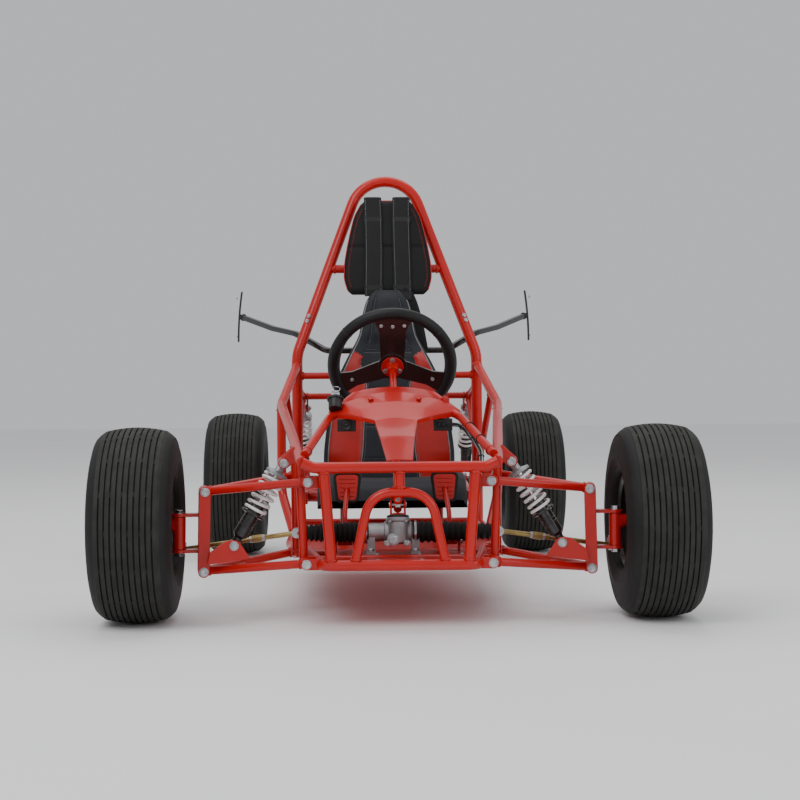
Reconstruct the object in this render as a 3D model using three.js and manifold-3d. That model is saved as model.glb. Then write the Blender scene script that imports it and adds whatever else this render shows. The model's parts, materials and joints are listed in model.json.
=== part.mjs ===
// Off-road kart chassis: tubular frame, double-wishbone front suspension, rear swingarm with a live
// axle, rack steering, pedals, bucket seat, padded roll hoop and four wheels.
// Millimetres, +Z up. The nose points to -Y. The origin is on the ground, halfway between the axles.
import * as THREE from 'three';
import { mergeVertices } from 'three/addons/utils/BufferGeometryUtils.js';
import Module from 'manifold-3d';

const wasm = await Module();
wasm.setup();

const V = (x, y, z) => new THREE.Vector3(x, y, z);
const DEG = Math.PI / 180;

// ---- driving dimensions -------------------------------------------------------------------------

const FIT = 0.3;              // gap between neighbouring pieces
const WHEELBASE = 1440;
const FRONT_TRACK = 1223;
const REAR_TRACK = 960;

const TYRE_DIA = 457.2;
const TYRE_WIDTH = 192;
const TYRE_WALL = 12;
const TYRE_SIDES = 16;
const RIM_SEAT_DIA = 203.2;
const RIM_WIDTH = 150;
const RIM_FLANGE = 9.5;
const RIM_WALL = 6;

const FRAME_TUBE = 25.4;
const HOOP_TUBE = 32;
const ARM_TUBE = 20;
const STAY_TUBE = 20;
const PLATE = 5;

const BULKHEAD_AHEAD = 150;   // bulkhead plane, ahead of the front axle
const BAR_BOTTOM_Z = 145;
const BAR_TOP_Z = 367;
const BULKHEAD_FOOT_X = 176;
const UPRIGHT_FOOT_X = 156;
const UPRIGHT_HEAD_X = 173;
const ARCH_TOP_Z = 310;
const ARCH_TUBE = 22;
const SHOULDER_X = 222;
const SHOULDER_Z = 379;

const PIVOT_X = 216;          // front inner pivot of the lower arm
const PIVOT_AHEAD = 110;
const PIVOT_Z = 146;
const PIVOT_SPREAD = 260;     // front to rear inner pivot
const PIVOT_RISE = 187;       // lower to upper pivot
const PIVOT_INSET = 4;        // the upper pivot sits this much further in
const PIVOT_YAW = 7.4 * DEG;
const ARM_BACKSET = 143;      // outer joint, behind the front inner pivot
const ARM_DROP = 28;
const ARM_TO_KINGPIN = 56;
const BOSS_DIA = 26;
const BOSS_LENGTH = 40;
const BOLT = 10;
const BOLT_HEAD = 18;
const BOLT_HEAD_HEIGHT = 7;

const KINGPIN_INSET = 96.5;   // kingpin axis, inboard of the wheel centre plane
const KINGPIN_DIA = 12;
const BARREL_DIA = 30;
const BARREL_BOTTOM_Z = 170;
const BARREL_TOP_Z = 246;
const STEER_ARM = 60;
const STEER_ARM_Z = 172;
const STEER_ARM_THICK = 8;
const OPEN_GAP = 1.2;         // clearance at the shocks' lower eyes, where that linkage is opened
const TIE_GAP = 3;            // the same, between a tie rod's outer eye and the steering arm
const STUB_DIA = 20;
const HUB_IN = 58;            // hub ends, inward and outward of the wheel's centre plane
const HUB_OUT = 34;
const RIM_DISC = 26;

const SHOCK_FOOT = V(157, 112, 34);     // lower eye, from the front inner pivot
const SHOCK_HEAD = V(39, 112, 225);
const SHOCK_EYE_WIDTH = 24;
const SHOCK_EYE_DIA = 26;
const SHOCK_BODY_DIA = 34;
const SHOCK_BODY_LENGTH = 118;
const SHOCK_SEAT_Z = 84;
const SHOCK_SEAT_DIA = 56;
const SHOCK_ROD_DIA = 12;
const SPRING_DIA = 49;
const SPRING_WIRE = 7;
const SPRING_PITCH = 21;
const SHOCK_CAP_DROP = 34;    // spring cap, below the upper eye
const SHOCK_ROD_START = 64;
const SHOCK_TRAVEL = 36;

const REAR_SHOCK_X = 256;
const REAR_SHOCK_FOOT = V(REAR_SHOCK_X, 570, 286);
const REAR_SHOCK_HEAD = V(REAR_SHOCK_X, 440, 478);
const SWING_PIVOT_Y = 285;
const SWING_PIVOT_Z = 215;
const SWING_TUBE = 26;
const SWING_EAR_X = 238;
const SWING_PIN = 30;
const SPROCKET_DIA = 170;
const BRAKE_DISC_DIA = 180;
const AXLE_DIA = 30;

const HOOP_X = 266;
const HOOP_FOOT_Y = 225;
const HOOP_KNEE = V(HOOP_X, 243, 640);
const HOOP_APEX = V(0, 377, 1363);      // where the two leaning legs would meet
const HOOP_TOP_RADIUS = 105;
const CROSS_HIGH_Z = 896;
const CROSS_MID_Z = 577;
const SIDE_KNEE = V(303, -20, 497);

const RACK_Y = -690;
const RACK_Z = 203;
const RACK_TUBE = 44;
const RACK_BAR_DIA = 18;
const RACK_END_X = 241;       // inner ball joint of the tie rod
const RACK_TUBE_LEFT_X = 51;
const RACK_TUBE_RIGHT_X = -86;
const BELLOWS_DIA = 54;
const BELLOWS_WAVES = 5;
const NECK_BORE = 14;
const TIE_ROD_DIA = 12;
const TIE_EYE_WIDTH = 8;
const TIE_PIN_DIA = 6;
const TIE_BLADE = 14;         // the round bar starts this far from the inner eye
const TIE_END_HEIGHT = 12;

const WHEEL_HUB = V(0, -320, 600);
const COLUMN_RISE = 30 * DEG;
const UPPER_JOINT_DROP = 215; // along the column, from the wheel to the upper universal joint
const PINION_OFFSET = 18;     // pinion axis, ahead of the rack bar's axis
const PINION_DIA = 17;
const PINION_LEAN = 10 * DEG;
const PINION_HEIGHT = 66;     // rack axis to the lower universal joint
const TOWER_DIA = 48;
const TOWER_HEIGHT = 36;
const SHAFT_DIA = 18;
const YOKE_REACH = 19;        // joint centre to a yoke's ear
const YOKE_THROAT = 22;       // joint centre to a yoke's base
const YOKE_BALL = 14;
const YOKE_PIN_START = 10;    // the driven yoke's pins stop short of the cross's centre
const WHEEL_DIA = 336;
const WHEEL_GRIP = 30;

const BEARING_ABOVE_JOINT = 54;
const COWL_SHEET = 3;
const RACK_PLATE_Z = 152;
const SEAT_BAR_Y = [-160, -20];

const SEAT_HALF = 200;
const SEAT_BACK_THICK = 58;
const SEAT_FRONT_Y = -255;
const SEAT_BACK_Y = 50;
const SEAT_BASE_Z = 225;
const SEAT_TOP_Z = 825;
const RECLINE = 9 * DEG;
const PAD_BOTTOM_Z = 816;
const PAD_TOP_Z = 1098;
const PAD_THICK = 46;
const BELT_THICK = 5;
const BELT_X = 42;
const BELT_HALF = 26;

const PEDAL_X = 126;
const PEDAL_PIVOT_Y = -645;
const PEDAL_PIVOT_Z = 176;
const PEDAL_PAD_Y = -560;
const PEDAL_PAD_Z = 300;
const PEDAL_HALF = 32;
const KEY_FOOT = V(-148, -512, 492);
const KEY_AXIS = V(0, 0.55, 0.835).normalize();
const KEY_BARREL_DIA = 34;
const KEY_PLUG_DIA = 16;
const BUTTON_FOOT = V(128, -474, 502);
const BUTTON_DIA = 14;
const BUTTON_RISE = 6;
const COLLAR_HEIGHT = 16;
const BOX_SIZE = V(46, 34, 30);        // the horn and the relay box, under the cowl's wings
const BOX_CENTRE = V(120, -507, 452);
const LOOM_DIA = 12;
const LOOM_STEPS = 22;

// ---- derived places -----------------------------------------------------------------------------

const AXLE_Z = TYRE_DIA / 2;
const FRONT_Y = -WHEELBASE / 2;
const REAR_Y = WHEELBASE / 2;
const BULKHEAD_Y = FRONT_Y - BULKHEAD_AHEAD;
const KINGPIN_X = FRONT_TRACK / 2 - KINGPIN_INSET;
const ARM_REACH = (KINGPIN_X - ARM_TO_KINGPIN - PIVOT_X - ARM_BACKSET * Math.sin(PIVOT_YAW))
  / Math.cos(PIVOT_YAW);
const LOWER_OUTER = V(ARM_REACH, ARM_BACKSET, -ARM_DROP);
const UPPER_INNER = V(-PIVOT_INSET, 0, PIVOT_RISE);
const UPPER_OUTER = LOWER_OUTER.clone().add(UPPER_INNER);
const COLUMN_DIR = V(0, Math.cos(COLUMN_RISE), Math.sin(COLUMN_RISE));
const UPPER_JOINT = WHEEL_HUB.clone().addScaledVector(COLUMN_DIR, -UPPER_JOINT_DROP);
const PINION_DIR = V(0, Math.sin(PINION_LEAN), Math.cos(PINION_LEAN));
const PINION_FOOT = V(0, RACK_Y - PINION_OFFSET, RACK_Z);
const LOWER_JOINT = PINION_FOOT.clone().addScaledVector(PINION_DIR, PINION_HEIGHT);
const SHAFT_DIR = UPPER_JOINT.clone().sub(LOWER_JOINT).normalize();
const SHOULDER = V(SHOULDER_X, BULKHEAD_Y, SHOULDER_Z);

// Frame of a front corner: x outward, y along the arms' pivot axis, z up, from the front lower pivot.
const CORNER = new THREE.Matrix4().makeRotationZ(-PIVOT_YAW)
  .setPosition(PIVOT_X, FRONT_Y - PIVOT_AHEAD, PIVOT_Z);
const fromCorner = (p) => p.clone().applyMatrix4(CORNER);

// ---- solids -------------------------------------------------------------------------------------

function signedVolume(position, index) {
  const [a, b, c] = [V(0, 0, 0), V(0, 0, 0), V(0, 0, 0)];
  let sum = 0;
  for (let i = 0; i < index.count; i += 3) {
    a.fromBufferAttribute(position, index.getX(i));
    b.fromBufferAttribute(position, index.getX(i + 1));
    c.fromBufferAttribute(position, index.getX(i + 2));
    sum += a.dot(b.cross(c));
  }
  return sum;
}

function solid(source) {
  const bare = source.index ? source.toNonIndexed() : source.clone();
  bare.deleteAttribute('normal');
  bare.deleteAttribute('uv');
  const merged = mergeVertices(bare, 1e-3);
  const inward = signedVolume(merged.attributes.position, merged.index) < 0;
  const corners = Array.from(merged.index.array);
  const triangles = [];
  for (let i = 0; i < corners.length; i += 3) {
    const [p, q, r] = corners.slice(i, i + 3);
    if (p === q || q === r || r === p) continue;
    triangles.push(...(inward ? [p, r, q] : [p, q, r]));
  }
  return new wasm.Manifold(new wasm.Mesh({
    numProp: 3,
    vertProperties: new Float32Array(merged.attributes.position.array),
    triVerts: new Uint32Array(triangles),
  }));
}

function geometryOf(body, flip = false) {
  const mesh = body.getMesh();
  const points = Float32Array.from(mesh.vertProperties, (v, i) => (flip && i % 3 === 0 ? -v : v));
  const index = Array.from(mesh.triVerts);
  if (flip) {
    for (let i = 0; i < index.length; i += 3) [index[i + 1], index[i + 2]] = [index[i + 2], index[i + 1]];
  }
  const geometry = new THREE.BufferGeometry();
  geometry.setAttribute('position', new THREE.BufferAttribute(points, 3));
  geometry.setIndex(index);
  geometry.computeVertexNormals();
  return geometry;
}

const join = (...bodies) => bodies.flat().reduce((a, b) => a.add(b));
const cut = (body, ...tools) => tools.flat().reduce((a, b) => a.subtract(b), body);
const both = (make) => [make(1), make(-1)];

// ---- shapes -------------------------------------------------------------------------------------

const sidesFor = (dia) => (dia > 100 ? 16 : dia > 40 ? 10 : dia > 12 ? 8 : 6);

// A straight round bar from a to b. With across = true the flats, not the corners, lie at the size.
function rod(a, b, dia, sides = sidesFor(dia), across = false) {
  const radius = dia / 2 / (across ? Math.cos(Math.PI / sides) : 1);
  const bar = new THREE.CylinderGeometry(radius, radius, a.distanceTo(b), sides);
  bar.applyQuaternion(new THREE.Quaternion().setFromUnitVectors(V(0, 1, 0), b.clone().sub(a).normalize()));
  bar.translate((a.x + b.x) / 2, (a.y + b.y) / 2, (a.z + b.z) / 2);
  return solid(bar);
}

const hole = (a, b, dia, sides = sidesFor(dia)) => rod(a, b, dia, sides, true);

function box(low, high) {
  const size = high.clone().sub(low);
  const centre = low.clone().add(high).multiplyScalar(0.5);
  return solid(new THREE.BoxGeometry(size.x, size.y, size.z).translate(centre.x, centre.y, centre.z));
}

const ball = (centre, dia) =>
  solid(new THREE.SphereGeometry(dia / 2, 8, 5).translate(centre.x, centre.y, centre.z));

// A route through fixed stations, so that an extrusion has one section at each of them.
class Route extends THREE.Curve {
  constructor(stations) {
    super();
    this.stations = stations;
  }
  getPoint(t, target = new THREE.Vector3()) {
    const place = t * (this.stations.length - 1);
    const i = Math.min(Math.floor(place), this.stations.length - 2);
    return target.lerpVectors(this.stations[i], this.stations[i + 1], place - i);
  }
  getSpacedPoints() {
    return this.stations;
  }
  getTangentAt(u, target = new THREE.Vector3()) {
    const i = Math.round(u * (this.stations.length - 1));
    const before = this.stations[Math.max(i - 1, 0)];
    const after = this.stations[Math.min(i + 1, this.stations.length - 1)];
    return target.subVectors(after, before).normalize();
  }
}

// Replaces each inner corner of a line by an arc of the given bend radius.
function filleted(points, bend) {
  const out = [points[0]];
  for (let i = 1; i < points.length - 1; i += 1) {
    const radius = Array.isArray(bend) ? bend[i - 1] : bend;
    const back = points[i - 1].clone().sub(points[i]).normalize();
    const on = points[i + 1].clone().sub(points[i]).normalize();
    const turn = Math.PI - back.angleTo(on);
    const length = radius * Math.tan(turn / 2);
    const centre = back.clone().add(on).normalize()
      .multiplyScalar(radius / Math.cos(turn / 2)).add(points[i]);
    const from = points[i].clone().addScaledVector(back, length).sub(centre);
    const axis = back.clone().cross(from).normalize();
    const steps = Math.max(1, Math.round(turn / (30 * DEG)));
    for (let k = 0; k <= steps; k += 1) {
      out.push(from.clone().applyAxisAngle(axis, (turn * k) / steps).add(centre));
    }
  }
  out.push(points[points.length - 1]);
  return out;
}

function roundSection(dia, sides) {
  const corners = [];
  for (let i = 0; i < sides; i += 1) {
    const angle = (2 * Math.PI * i) / sides;
    corners.push(new THREE.Vector2(dia / 2 * Math.cos(angle), dia / 2 * Math.sin(angle)));
  }
  return new THREE.Shape(corners);
}

function along(stations, section) {
  return solid(new THREE.ExtrudeGeometry(section, {
    steps: stations.length - 1,
    extrudePath: new Route(stations),
    bevelEnabled: false,
  }));
}

const bent = (points, bend, dia, sides = sidesFor(dia)) => along(filleted(points, bend),
  roundSection(dia, sides));

// A flat plate: an outline in the x-z plane, with its middle at y.
function plateXZ(outline, y, thick) {
  const plate = new THREE.ExtrudeGeometry(outline, { depth: thick, bevelEnabled: false });
  return solid(plate.rotateX(Math.PI / 2).translate(0, y + thick / 2, 0));
}

// The outline of a link: rounded at b, and at a too where isRound says so.
function linkOutline(a, b, radius, isRound = false) {
  const angle = Math.atan2(b.y - a.y, b.x - a.x);
  const end = (centre, from, steps) => Array.from({ length: steps + 1 }, (_, k) => {
    const turn = angle + from + (k * Math.PI) / steps;
    return new THREE.Vector2(centre.x + radius * Math.cos(turn), centre.y + radius * Math.sin(turn));
  });
  return new THREE.Shape([...end(b, -Math.PI / 2, 3), ...end(a, Math.PI / 2, isRound ? 3 : 1)]);
}

const flat = (p) => new THREE.Vector2(p.x, p.z);

function turned(profile, sides) {
  const points = profile.map(([r, y]) => new THREE.Vector2(r, y));
  points.push(points[0].clone());
  return new THREE.LatheGeometry(points, sides);
}

// A block whose points are moved by a rule of its own unit coordinates (each from -1 to 1).
function moulded([nx, ny, nz], rule) {
  const block = new THREE.BoxGeometry(2, 2, 2, nx, ny, nz);
  const spots = block.attributes.position;
  for (let i = 0; i < spots.count; i += 1) {
    const p = rule(spots.getX(i), spots.getY(i), spots.getZ(i));
    spots.setXYZ(i, p.x, p.y, p.z);
  }
  return solid(block);
}

const mix = THREE.MathUtils.lerp;

function table(stops, t) {
  const last = stops.length - 1;
  const i = Math.min(Math.floor(t * last), last - 1);
  return mix(stops[i], stops[i + 1], t * last - i);
}

// ---- materials ----------------------------------------------------------------------------------

const paint = (color, roughness, metalness = 0) =>
  new THREE.MeshStandardMaterial({ color, roughness, metalness });
const RED = paint(0xd81f10, 0.25);
const BLACK = paint(0x17181a, 0.5);
const RUBBER = paint(0x26282a, 0.85);
const STEEL = paint(0x8d9094, 0.35, 0.9);
const GOLD = paint(0xb89a4c, 0.35, 0.9);
const WHITE = paint(0xe9e6e6, 0.35);
const CHARCOAL = paint(0x23272d, 0.7);

// ---- scene --------------------------------------------------------------------------------------

const kart = new THREE.Group();
kart.name = 'kart_chassis';
const leftCorner = new THREE.Group();
leftCorner.applyMatrix4(CORNER);
const rightCorner = new THREE.Group();
rightCorner.position.set(-PIVOT_X, FRONT_Y - PIVOT_AHEAD, PIVOT_Z);
rightCorner.rotation.z = PIVOT_YAW;
kart.add(leftCorner, rightCorner);

function place(name, body, material, parent = kart, flip = false) {
  const mesh = new THREE.Mesh(geometryOf(body, flip), material);
  mesh.name = name;
  parent.add(mesh);
  return mesh;
}

function placePair(name, body, material, parents = [kart, kart]) {
  place(`${name}_left`, body, material, parents[0]);
  place(`${name}_right`, body, material, parents[1], true);
}

const corners = [leftCorner, rightCorner];

// ---- frame --------------------------------------------------------------------------------------

const mirror = (p, side) => V(p.x * side, p.y, p.z);
const railX = (y) => BULKHEAD_FOOT_X + (y - BULKHEAD_Y) * Math.tan(PIVOT_YAW);
const RAIL_START_Y = BULKHEAD_Y + 42;
const RAIL_FLARE_Y = FRONT_Y + 160;
const RAIL_WIDE_Y = FRONT_Y + 330;
const POST_BEHIND = BOSS_LENGTH / 2 + PLATE + ARM_TUBE / 2;
const HOOP_LEAN = (HOOP_APEX.y - HOOP_KNEE.y) / (HOOP_APEX.z - HOOP_KNEE.z);
const hoopY = (z) => HOOP_KNEE.y + (z - HOOP_KNEE.z) * HOOP_LEAN;
const hoopX = (z) => HOOP_X * (HOOP_APEX.z - z) / (HOOP_APEX.z - HOOP_KNEE.z);
const railAt = (y) => SHOULDER.clone().lerp(SIDE_KNEE, (y - BULKHEAD_Y) / (SIDE_KNEE.y - BULKHEAD_Y));

// Each of these tubes can be made thicker by a gap, to cope the ends of the tubes that meet it. The
// thicker one's flats, not its corners, then lie at the size.
const around = (dia, extra) => (extra ? (dia + extra) / Math.cos(Math.PI / sidesFor(dia)) : dia);
const hoopLoop = (extra = 0) => {
  const foot = (side) => V(side * HOOP_X, HOOP_FOOT_Y, BAR_BOTTOM_Z - FRAME_TUBE / 2 - extra);
  return bent([foot(-1), mirror(HOOP_KNEE, -1), HOOP_APEX, HOOP_KNEE, foot(1)],
    [110, HOOP_TOP_RADIUS, 110], around(HOOP_TUBE, extra));
};

const bottomBar = (extra = 0) => {
  const end = (side) => V(side * railX(RAIL_START_Y), RAIL_START_Y, BAR_BOTTOM_Z);
  const corner = (side) => V(side * BULKHEAD_FOOT_X, BULKHEAD_Y, BAR_BOTTOM_Z);
  return bent([end(-1), corner(-1), corner(1), end(1)], 30, around(FRAME_TUBE, extra));
};

const topBar = (extra = 0) => bent([
  V(-SHOULDER_X, BULKHEAD_Y, SHOULDER_Z), V(-SHOULDER_X + 26, BULKHEAD_Y, BAR_TOP_Z),
  V(SHOULDER_X - 26, BULKHEAD_Y, BAR_TOP_Z), V(SHOULDER_X, BULKHEAD_Y, SHOULDER_Z),
], 30, around(FRAME_TUBE, extra));

const sideRail = (side, extra = 0) => bent([
  V(side * SHOULDER_X, BULKHEAD_Y + FRAME_TUBE / 2 + FIT, SHOULDER_Z),
  mirror(SIDE_KNEE, side),
  V(side * HOOP_X, HOOP_KNEE.y - 6, HOOP_KNEE.z - 30),
], 90, around(FRAME_TUBE, extra));

const floorRail = (side, extra = 0) => bent([
  V(side * railX(RAIL_START_Y + FIT), RAIL_START_Y + FIT, BAR_BOTTOM_Z),
  V(side * railX(RAIL_FLARE_Y), RAIL_FLARE_Y, BAR_BOTTOM_Z),
  V(side * HOOP_X, RAIL_WIDE_Y, BAR_BOTTOM_Z),
  V(side * HOOP_X, HOOP_FOOT_Y - 2, BAR_BOTTOM_Z),
], 80, around(FRAME_TUBE, extra));

function bulkhead() {
  const uprights = both((side) => rod(
    V(side * UPRIGHT_FOOT_X, BULKHEAD_Y, BAR_BOTTOM_Z),
    V(side * UPRIGHT_HEAD_X, BULKHEAD_Y, BAR_TOP_Z), FRAME_TUBE));
  const archFoot = (side) => V(side * 104, BULKHEAD_Y, BAR_BOTTOM_Z);
  const archKnee = (side) => V(side * 68, BULKHEAD_Y, ARCH_TOP_Z);
  const arch = bent([archFoot(-1), archKnee(-1), archKnee(1), archFoot(1)], 62, ARCH_TUBE);
  const riser = rod(V(0, BULKHEAD_Y, ARCH_TOP_Z), V(0, BULKHEAD_Y, BAR_TOP_Z), ARCH_TUBE);
  return join(bottomBar(), topBar(), uprights, arch, riser);
}

// A through bolt along y with its head at one end and a nut at the other.
function bolt(at, halfGrip, headEnd = -1) {
  const on = (y) => V(at.x, at.y + y * headEnd, at.z);
  return join(
    rod(on(-halfGrip - 1), on(halfGrip + 1), BOLT),
    rod(on(halfGrip), on(halfGrip + BOLT_HEAD_HEIGHT), BOLT_HEAD, 6),
    rod(on(-halfGrip), on(-halfGrip - BOLT_HEAD_HEIGHT), BOLT_HEAD, 6));
}

// A welded bracket in the corner's frame: two ears, a web on the inner side and a through bolt.
function pivotBracket(pivot, headEnd) {
  const half = BOSS_LENGTH / 2 + FIT;
  const outline = linkOutline(new THREE.Vector2(pivot.x - 27, pivot.z), flat(pivot), BOSS_DIA / 2);
  const ears = both((end) => plateXZ(outline, pivot.y + end * (half + PLATE / 2), PLATE));
  const web = box(
    V(pivot.x - 30, pivot.y - half - 1, pivot.z - 4), V(pivot.x - 24, pivot.y + half + 1, pivot.z + 11));
  return join(ears, web, bolt(pivot, half + PLATE, headEnd));
}

// Two ears and a bolt that hold a shock absorber's eye; root is where the ears are welded on.
function shockEars(eye, root) {
  const half = SHOCK_EYE_WIDTH / 2 + FIT;
  const outline = linkOutline(flat(root), flat(eye), SHOCK_EYE_DIA / 2 + 1);
  const ears = both((end) => plateXZ(outline, eye.y + end * (half + PLATE / 2), PLATE));
  return join(ears, bolt(eye, half + PLATE));
}

const fromCornerFrame = (body) => solid(geometryOf(body).applyMatrix4(CORNER));

function sideFrame() {
  const sidePost = bent([
    SIDE_KNEE, V(SIDE_KNEE.x, SIDE_KNEE.y, 250), V(HOOP_X, SIDE_KNEE.y - 120, BAR_BOTTOM_Z),
  ], 60, FRAME_TUBE);
  const brace = rod(V(SIDE_KNEE.x - 10, SIDE_KNEE.y + 70, 528), V(HOOP_X, HOOP_FOOT_Y, 300), STAY_TUBE);
  const supports = [POST_BEHIND, PIVOT_SPREAD - POST_BEHIND].flatMap((y) => {
    const foot = fromCorner(V(0, y, 0));
    const low = V(foot.x, foot.y, PIVOT_Z - 14);
    const stub = V(foot.x, foot.y, BAR_BOTTOM_Z);
    return [rod(low, railAt(foot.y), ARM_TUBE),
      rod(V(railX(foot.y), foot.y, BAR_BOTTOM_Z), stub, ARM_TUBE - 2)];
  });
  const rear = V(0, PIVOT_SPREAD, 0);
  const brackets = [
    pivotBracket(V(0, 0, 0), -1), pivotBracket(UPPER_INNER, -1),
    pivotBracket(rear, 1), pivotBracket(rear.clone().add(UPPER_INNER), 1),
  ].map(fromCornerFrame);
  const rail = railAt(fromCorner(SHOCK_HEAD).y).applyMatrix4(CORNER.clone().invert());
  const ears = fromCornerFrame(shockEars(SHOCK_HEAD, rail));
  const whole = join(sideRail(1), sidePost, brace, supports, brackets, ears);
  return cut(whole, bottomBar(2 * FIT), floorRail(1, 2 * FIT), hoopLoop(2 * FIT));
}

function pedalBracket(side) {
  const x = side * PEDAL_X;
  const ears = both((end) => box(
    V(x + end * 22 - 3, PEDAL_PIVOT_Y - 12, RACK_PLATE_Z),
    V(x + end * 22 + 3, PEDAL_PIVOT_Y + 12, PEDAL_PIVOT_Z + 12)));
  const pin = rod(V(x - 26, PEDAL_PIVOT_Y, PEDAL_PIVOT_Z), V(x + 26, PEDAL_PIVOT_Y, PEDAL_PIVOT_Z), BOLT);
  return join(ears, pin);
}

function floorFrame() {
  const half = [[railX(RAIL_START_Y), RAIL_START_Y + 2], [railX(RAIL_FLARE_Y), RAIL_FLARE_Y],
    [HOOP_X, RAIL_WIDE_Y], [HOOP_X, HOOP_FOOT_Y - HOOP_TUBE]];
  const outline = new THREE.Shape([
    ...half.map(([x, y]) => new THREE.Vector2(x, y)),
    ...half.reverse().map(([x, y]) => new THREE.Vector2(-x, y)),
  ]);
  const pan = solid(new THREE.ExtrudeGeometry(outline, { depth: PLATE - 1, bevelEnabled: false })
    .translate(0, 0, BAR_BOTTOM_Z - FRAME_TUBE / 2 - 1));
  const rackPlate = box(
    V(-170, BULKHEAD_Y + FRAME_TUBE / 2 + 2, RACK_PLATE_Z - PLATE),
      V(170, PEDAL_PIVOT_Y + 30, RACK_PLATE_Z));
  const across = (x, y, dia) => rod(V(-x, y, BAR_BOTTOM_Z), V(x, y, BAR_BOTTOM_Z), dia);
  const bars = [RACK_Y - 60, PEDAL_PIVOT_Y + 20].map((y) => across(railX(y), y, STAY_TUBE));
  const seatBars = SEAT_BAR_Y.map((y) => across(HOOP_X, y, STAY_TUBE));
  const standoffs = SEAT_BAR_Y.flatMap((y) => both((side) =>
    rod(V(side * 130, y, BAR_BOTTOM_Z), V(side * 130, y, SEAT_BASE_Z - FIT), STAY_TUBE)));
  const tail = across(HOOP_X, HOOP_FOOT_Y - 8, STAY_TUBE);
  const whole = join(both((side) => floorRail(side)), pan, rackPlate, bars, seatBars, standoffs, tail,
    both(pedalBracket));
  return cut(whole, bottomBar(2 * FIT), hoopLoop(2 * FIT));
}

function rollHoop() {
  const across = (x, y, z, dia) => rod(V(-x, y, z), V(x, y, z), dia);
  const high = across(hoopX(CROSS_HIGH_Z), hoopY(CROSS_HIGH_Z), CROSS_HIGH_Z, FRAME_TUBE);
  const mid = across(HOOP_X, HOOP_KNEE.y - 3, CROSS_MID_Z, STAY_TUBE);
  const swingMount = (side) => {
    const inner = side * SWING_EAR_X;
    const reach = side * (HOOP_X - 10);
    const ear = box(
      V(Math.min(inner, reach), HOOP_FOOT_Y, SWING_PIVOT_Z - 18),
      V(Math.max(inner, reach), SWING_PIVOT_Y + 16, SWING_PIVOT_Z + 18));
    const pin = rod(V(inner - side * SWING_PIN, SWING_PIVOT_Y, SWING_PIVOT_Z),
      V(reach, SWING_PIVOT_Y, SWING_PIVOT_Z), BOLT + 2);
    return join(ear, pin);
  };
  return join(hoopLoop(), high, mid, both(swingMount));
}

// Turns a piece made with its eye axis along y so that the eye axis lies along x, at a side's shock.
function sideways(body, x) {
  const upright = new THREE.Matrix4().makeRotationZ(Math.PI / 2);
  return solid(geometryOf(body).applyMatrix4(upright).translate(x, 0, 0));
}

function rearSubframe() {
  const eye = REAR_SHOCK_HEAD;
  const node = V(REAR_SHOCK_X, eye.y - 15, eye.z + 36);
  const crossBar = rod(mirror(node, -1), node, STAY_TUBE);
  const stays = both((side) => join(
    rod(mirror(V(HOOP_X, hoopY(CROSS_MID_Z), CROSS_MID_Z - 20), side), mirror(node, side), STAY_TUBE),
    rod(mirror(V(HOOP_X, HOOP_FOOT_Y + 6, 330), side), mirror(node, side), STAY_TUBE)));
  const ears = both((side) =>
    sideways(shockEars(V(eye.y, 0, eye.z), V(node.y, 0, node.z)), side * REAR_SHOCK_X));
  return cut(join(crossBar, stays, ears), hoopLoop(2 * FIT));
}

const onKey = (s) => KEY_FOOT.clone().addScaledVector(KEY_AXIS, s);
const onButton = (s) => V(BUTTON_FOOT.x, BUTTON_FOOT.y, BUTTON_FOOT.z + s);
const keyBarrel = (extra = 0) => rod(onKey(-extra), onKey(27), around(KEY_BARREL_DIA, extra));

// Sheet-metal cowl with folded lips, on two bent tubes that also carry the column's bearing.
function dashCowl() {
  const wing = V(165, -490, 487);
  const noseZ = BAR_TOP_Z + FRAME_TUBE / 2 + FIT + COWL_SHEET;
  const ys = [-448, wing.y, -540, -600, -700, BULKHEAD_Y + 4];
  const halves = [105, wing.x, 112, 52, 40, 30];
  const crowns = [547, 535, 512, 474, 430, noseZ + 2];
  const edges = [533, wing.z, 480, 467, 427, noseZ];
  const shell = moulded([8, ys.length - 1, 1], (u, v, w) => {
    const t = (v + 1) / 2;
    const isLip = Math.abs(u) > 0.8;
    const across = isLip ? Math.sign(u) : u / 0.75;
    const lip = isLip ? mix(18, COWL_SHEET, t) : 0;
    const z = mix(table(edges, t), table(crowns, t), 1 - across * across) - lip;
    const inward = Math.abs(across) > 0.9 && w < 0 ? COWL_SHEET : 0;
    const x = across * (table(halves, t) - inward);
    return V(x, table(ys, t), w < 0 && !isLip ? z - COWL_SHEET : z);
  });
  const bearing = UPPER_JOINT.clone().addScaledVector(COLUMN_DIR, BEARING_ABOVE_JOINT);
  const tubes = both((side) => bent([
    mirror(V(SHOULDER_X - 6, BULKHEAD_Y + 30, SHOULDER_Z + 16), side),
    mirror(V(wing.x - 4, wing.y - 12, wing.z - 13), side),
    mirror(V(50, bearing.y, bearing.z), side),
  ], 50, STAY_TUBE));
  const carrier = rod(V(-54, bearing.y, bearing.z), V(54, bearing.y, bearing.z), STAY_TUBE);
  const onColumn = (s) => bearing.clone().addScaledVector(COLUMN_DIR, s);
  const sleeve = rod(onColumn(-14), onColumn(14), SHAFT_DIA + 14);
  const bore = hole(onColumn(-60), onColumn(60), SHAFT_DIA + 2 * FIT);
  const frame = cut(join(tubes, carrier, sleeve), both((side) => sideRail(side, 2 * FIT)), topBar(2 * FIT));
  const collar = rod(BUTTON_FOOT, onButton(COLLAR_HEIGHT), BUTTON_DIA + 8);
  const buttonBore = hole(onButton(-20), onButton(COLLAR_HEIGHT + 5), BUTTON_DIA + 2 * FIT);
  return cut(join(shell, frame, collar), bore, buttonBore, keyBarrel(2 * FIT));
}

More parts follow.
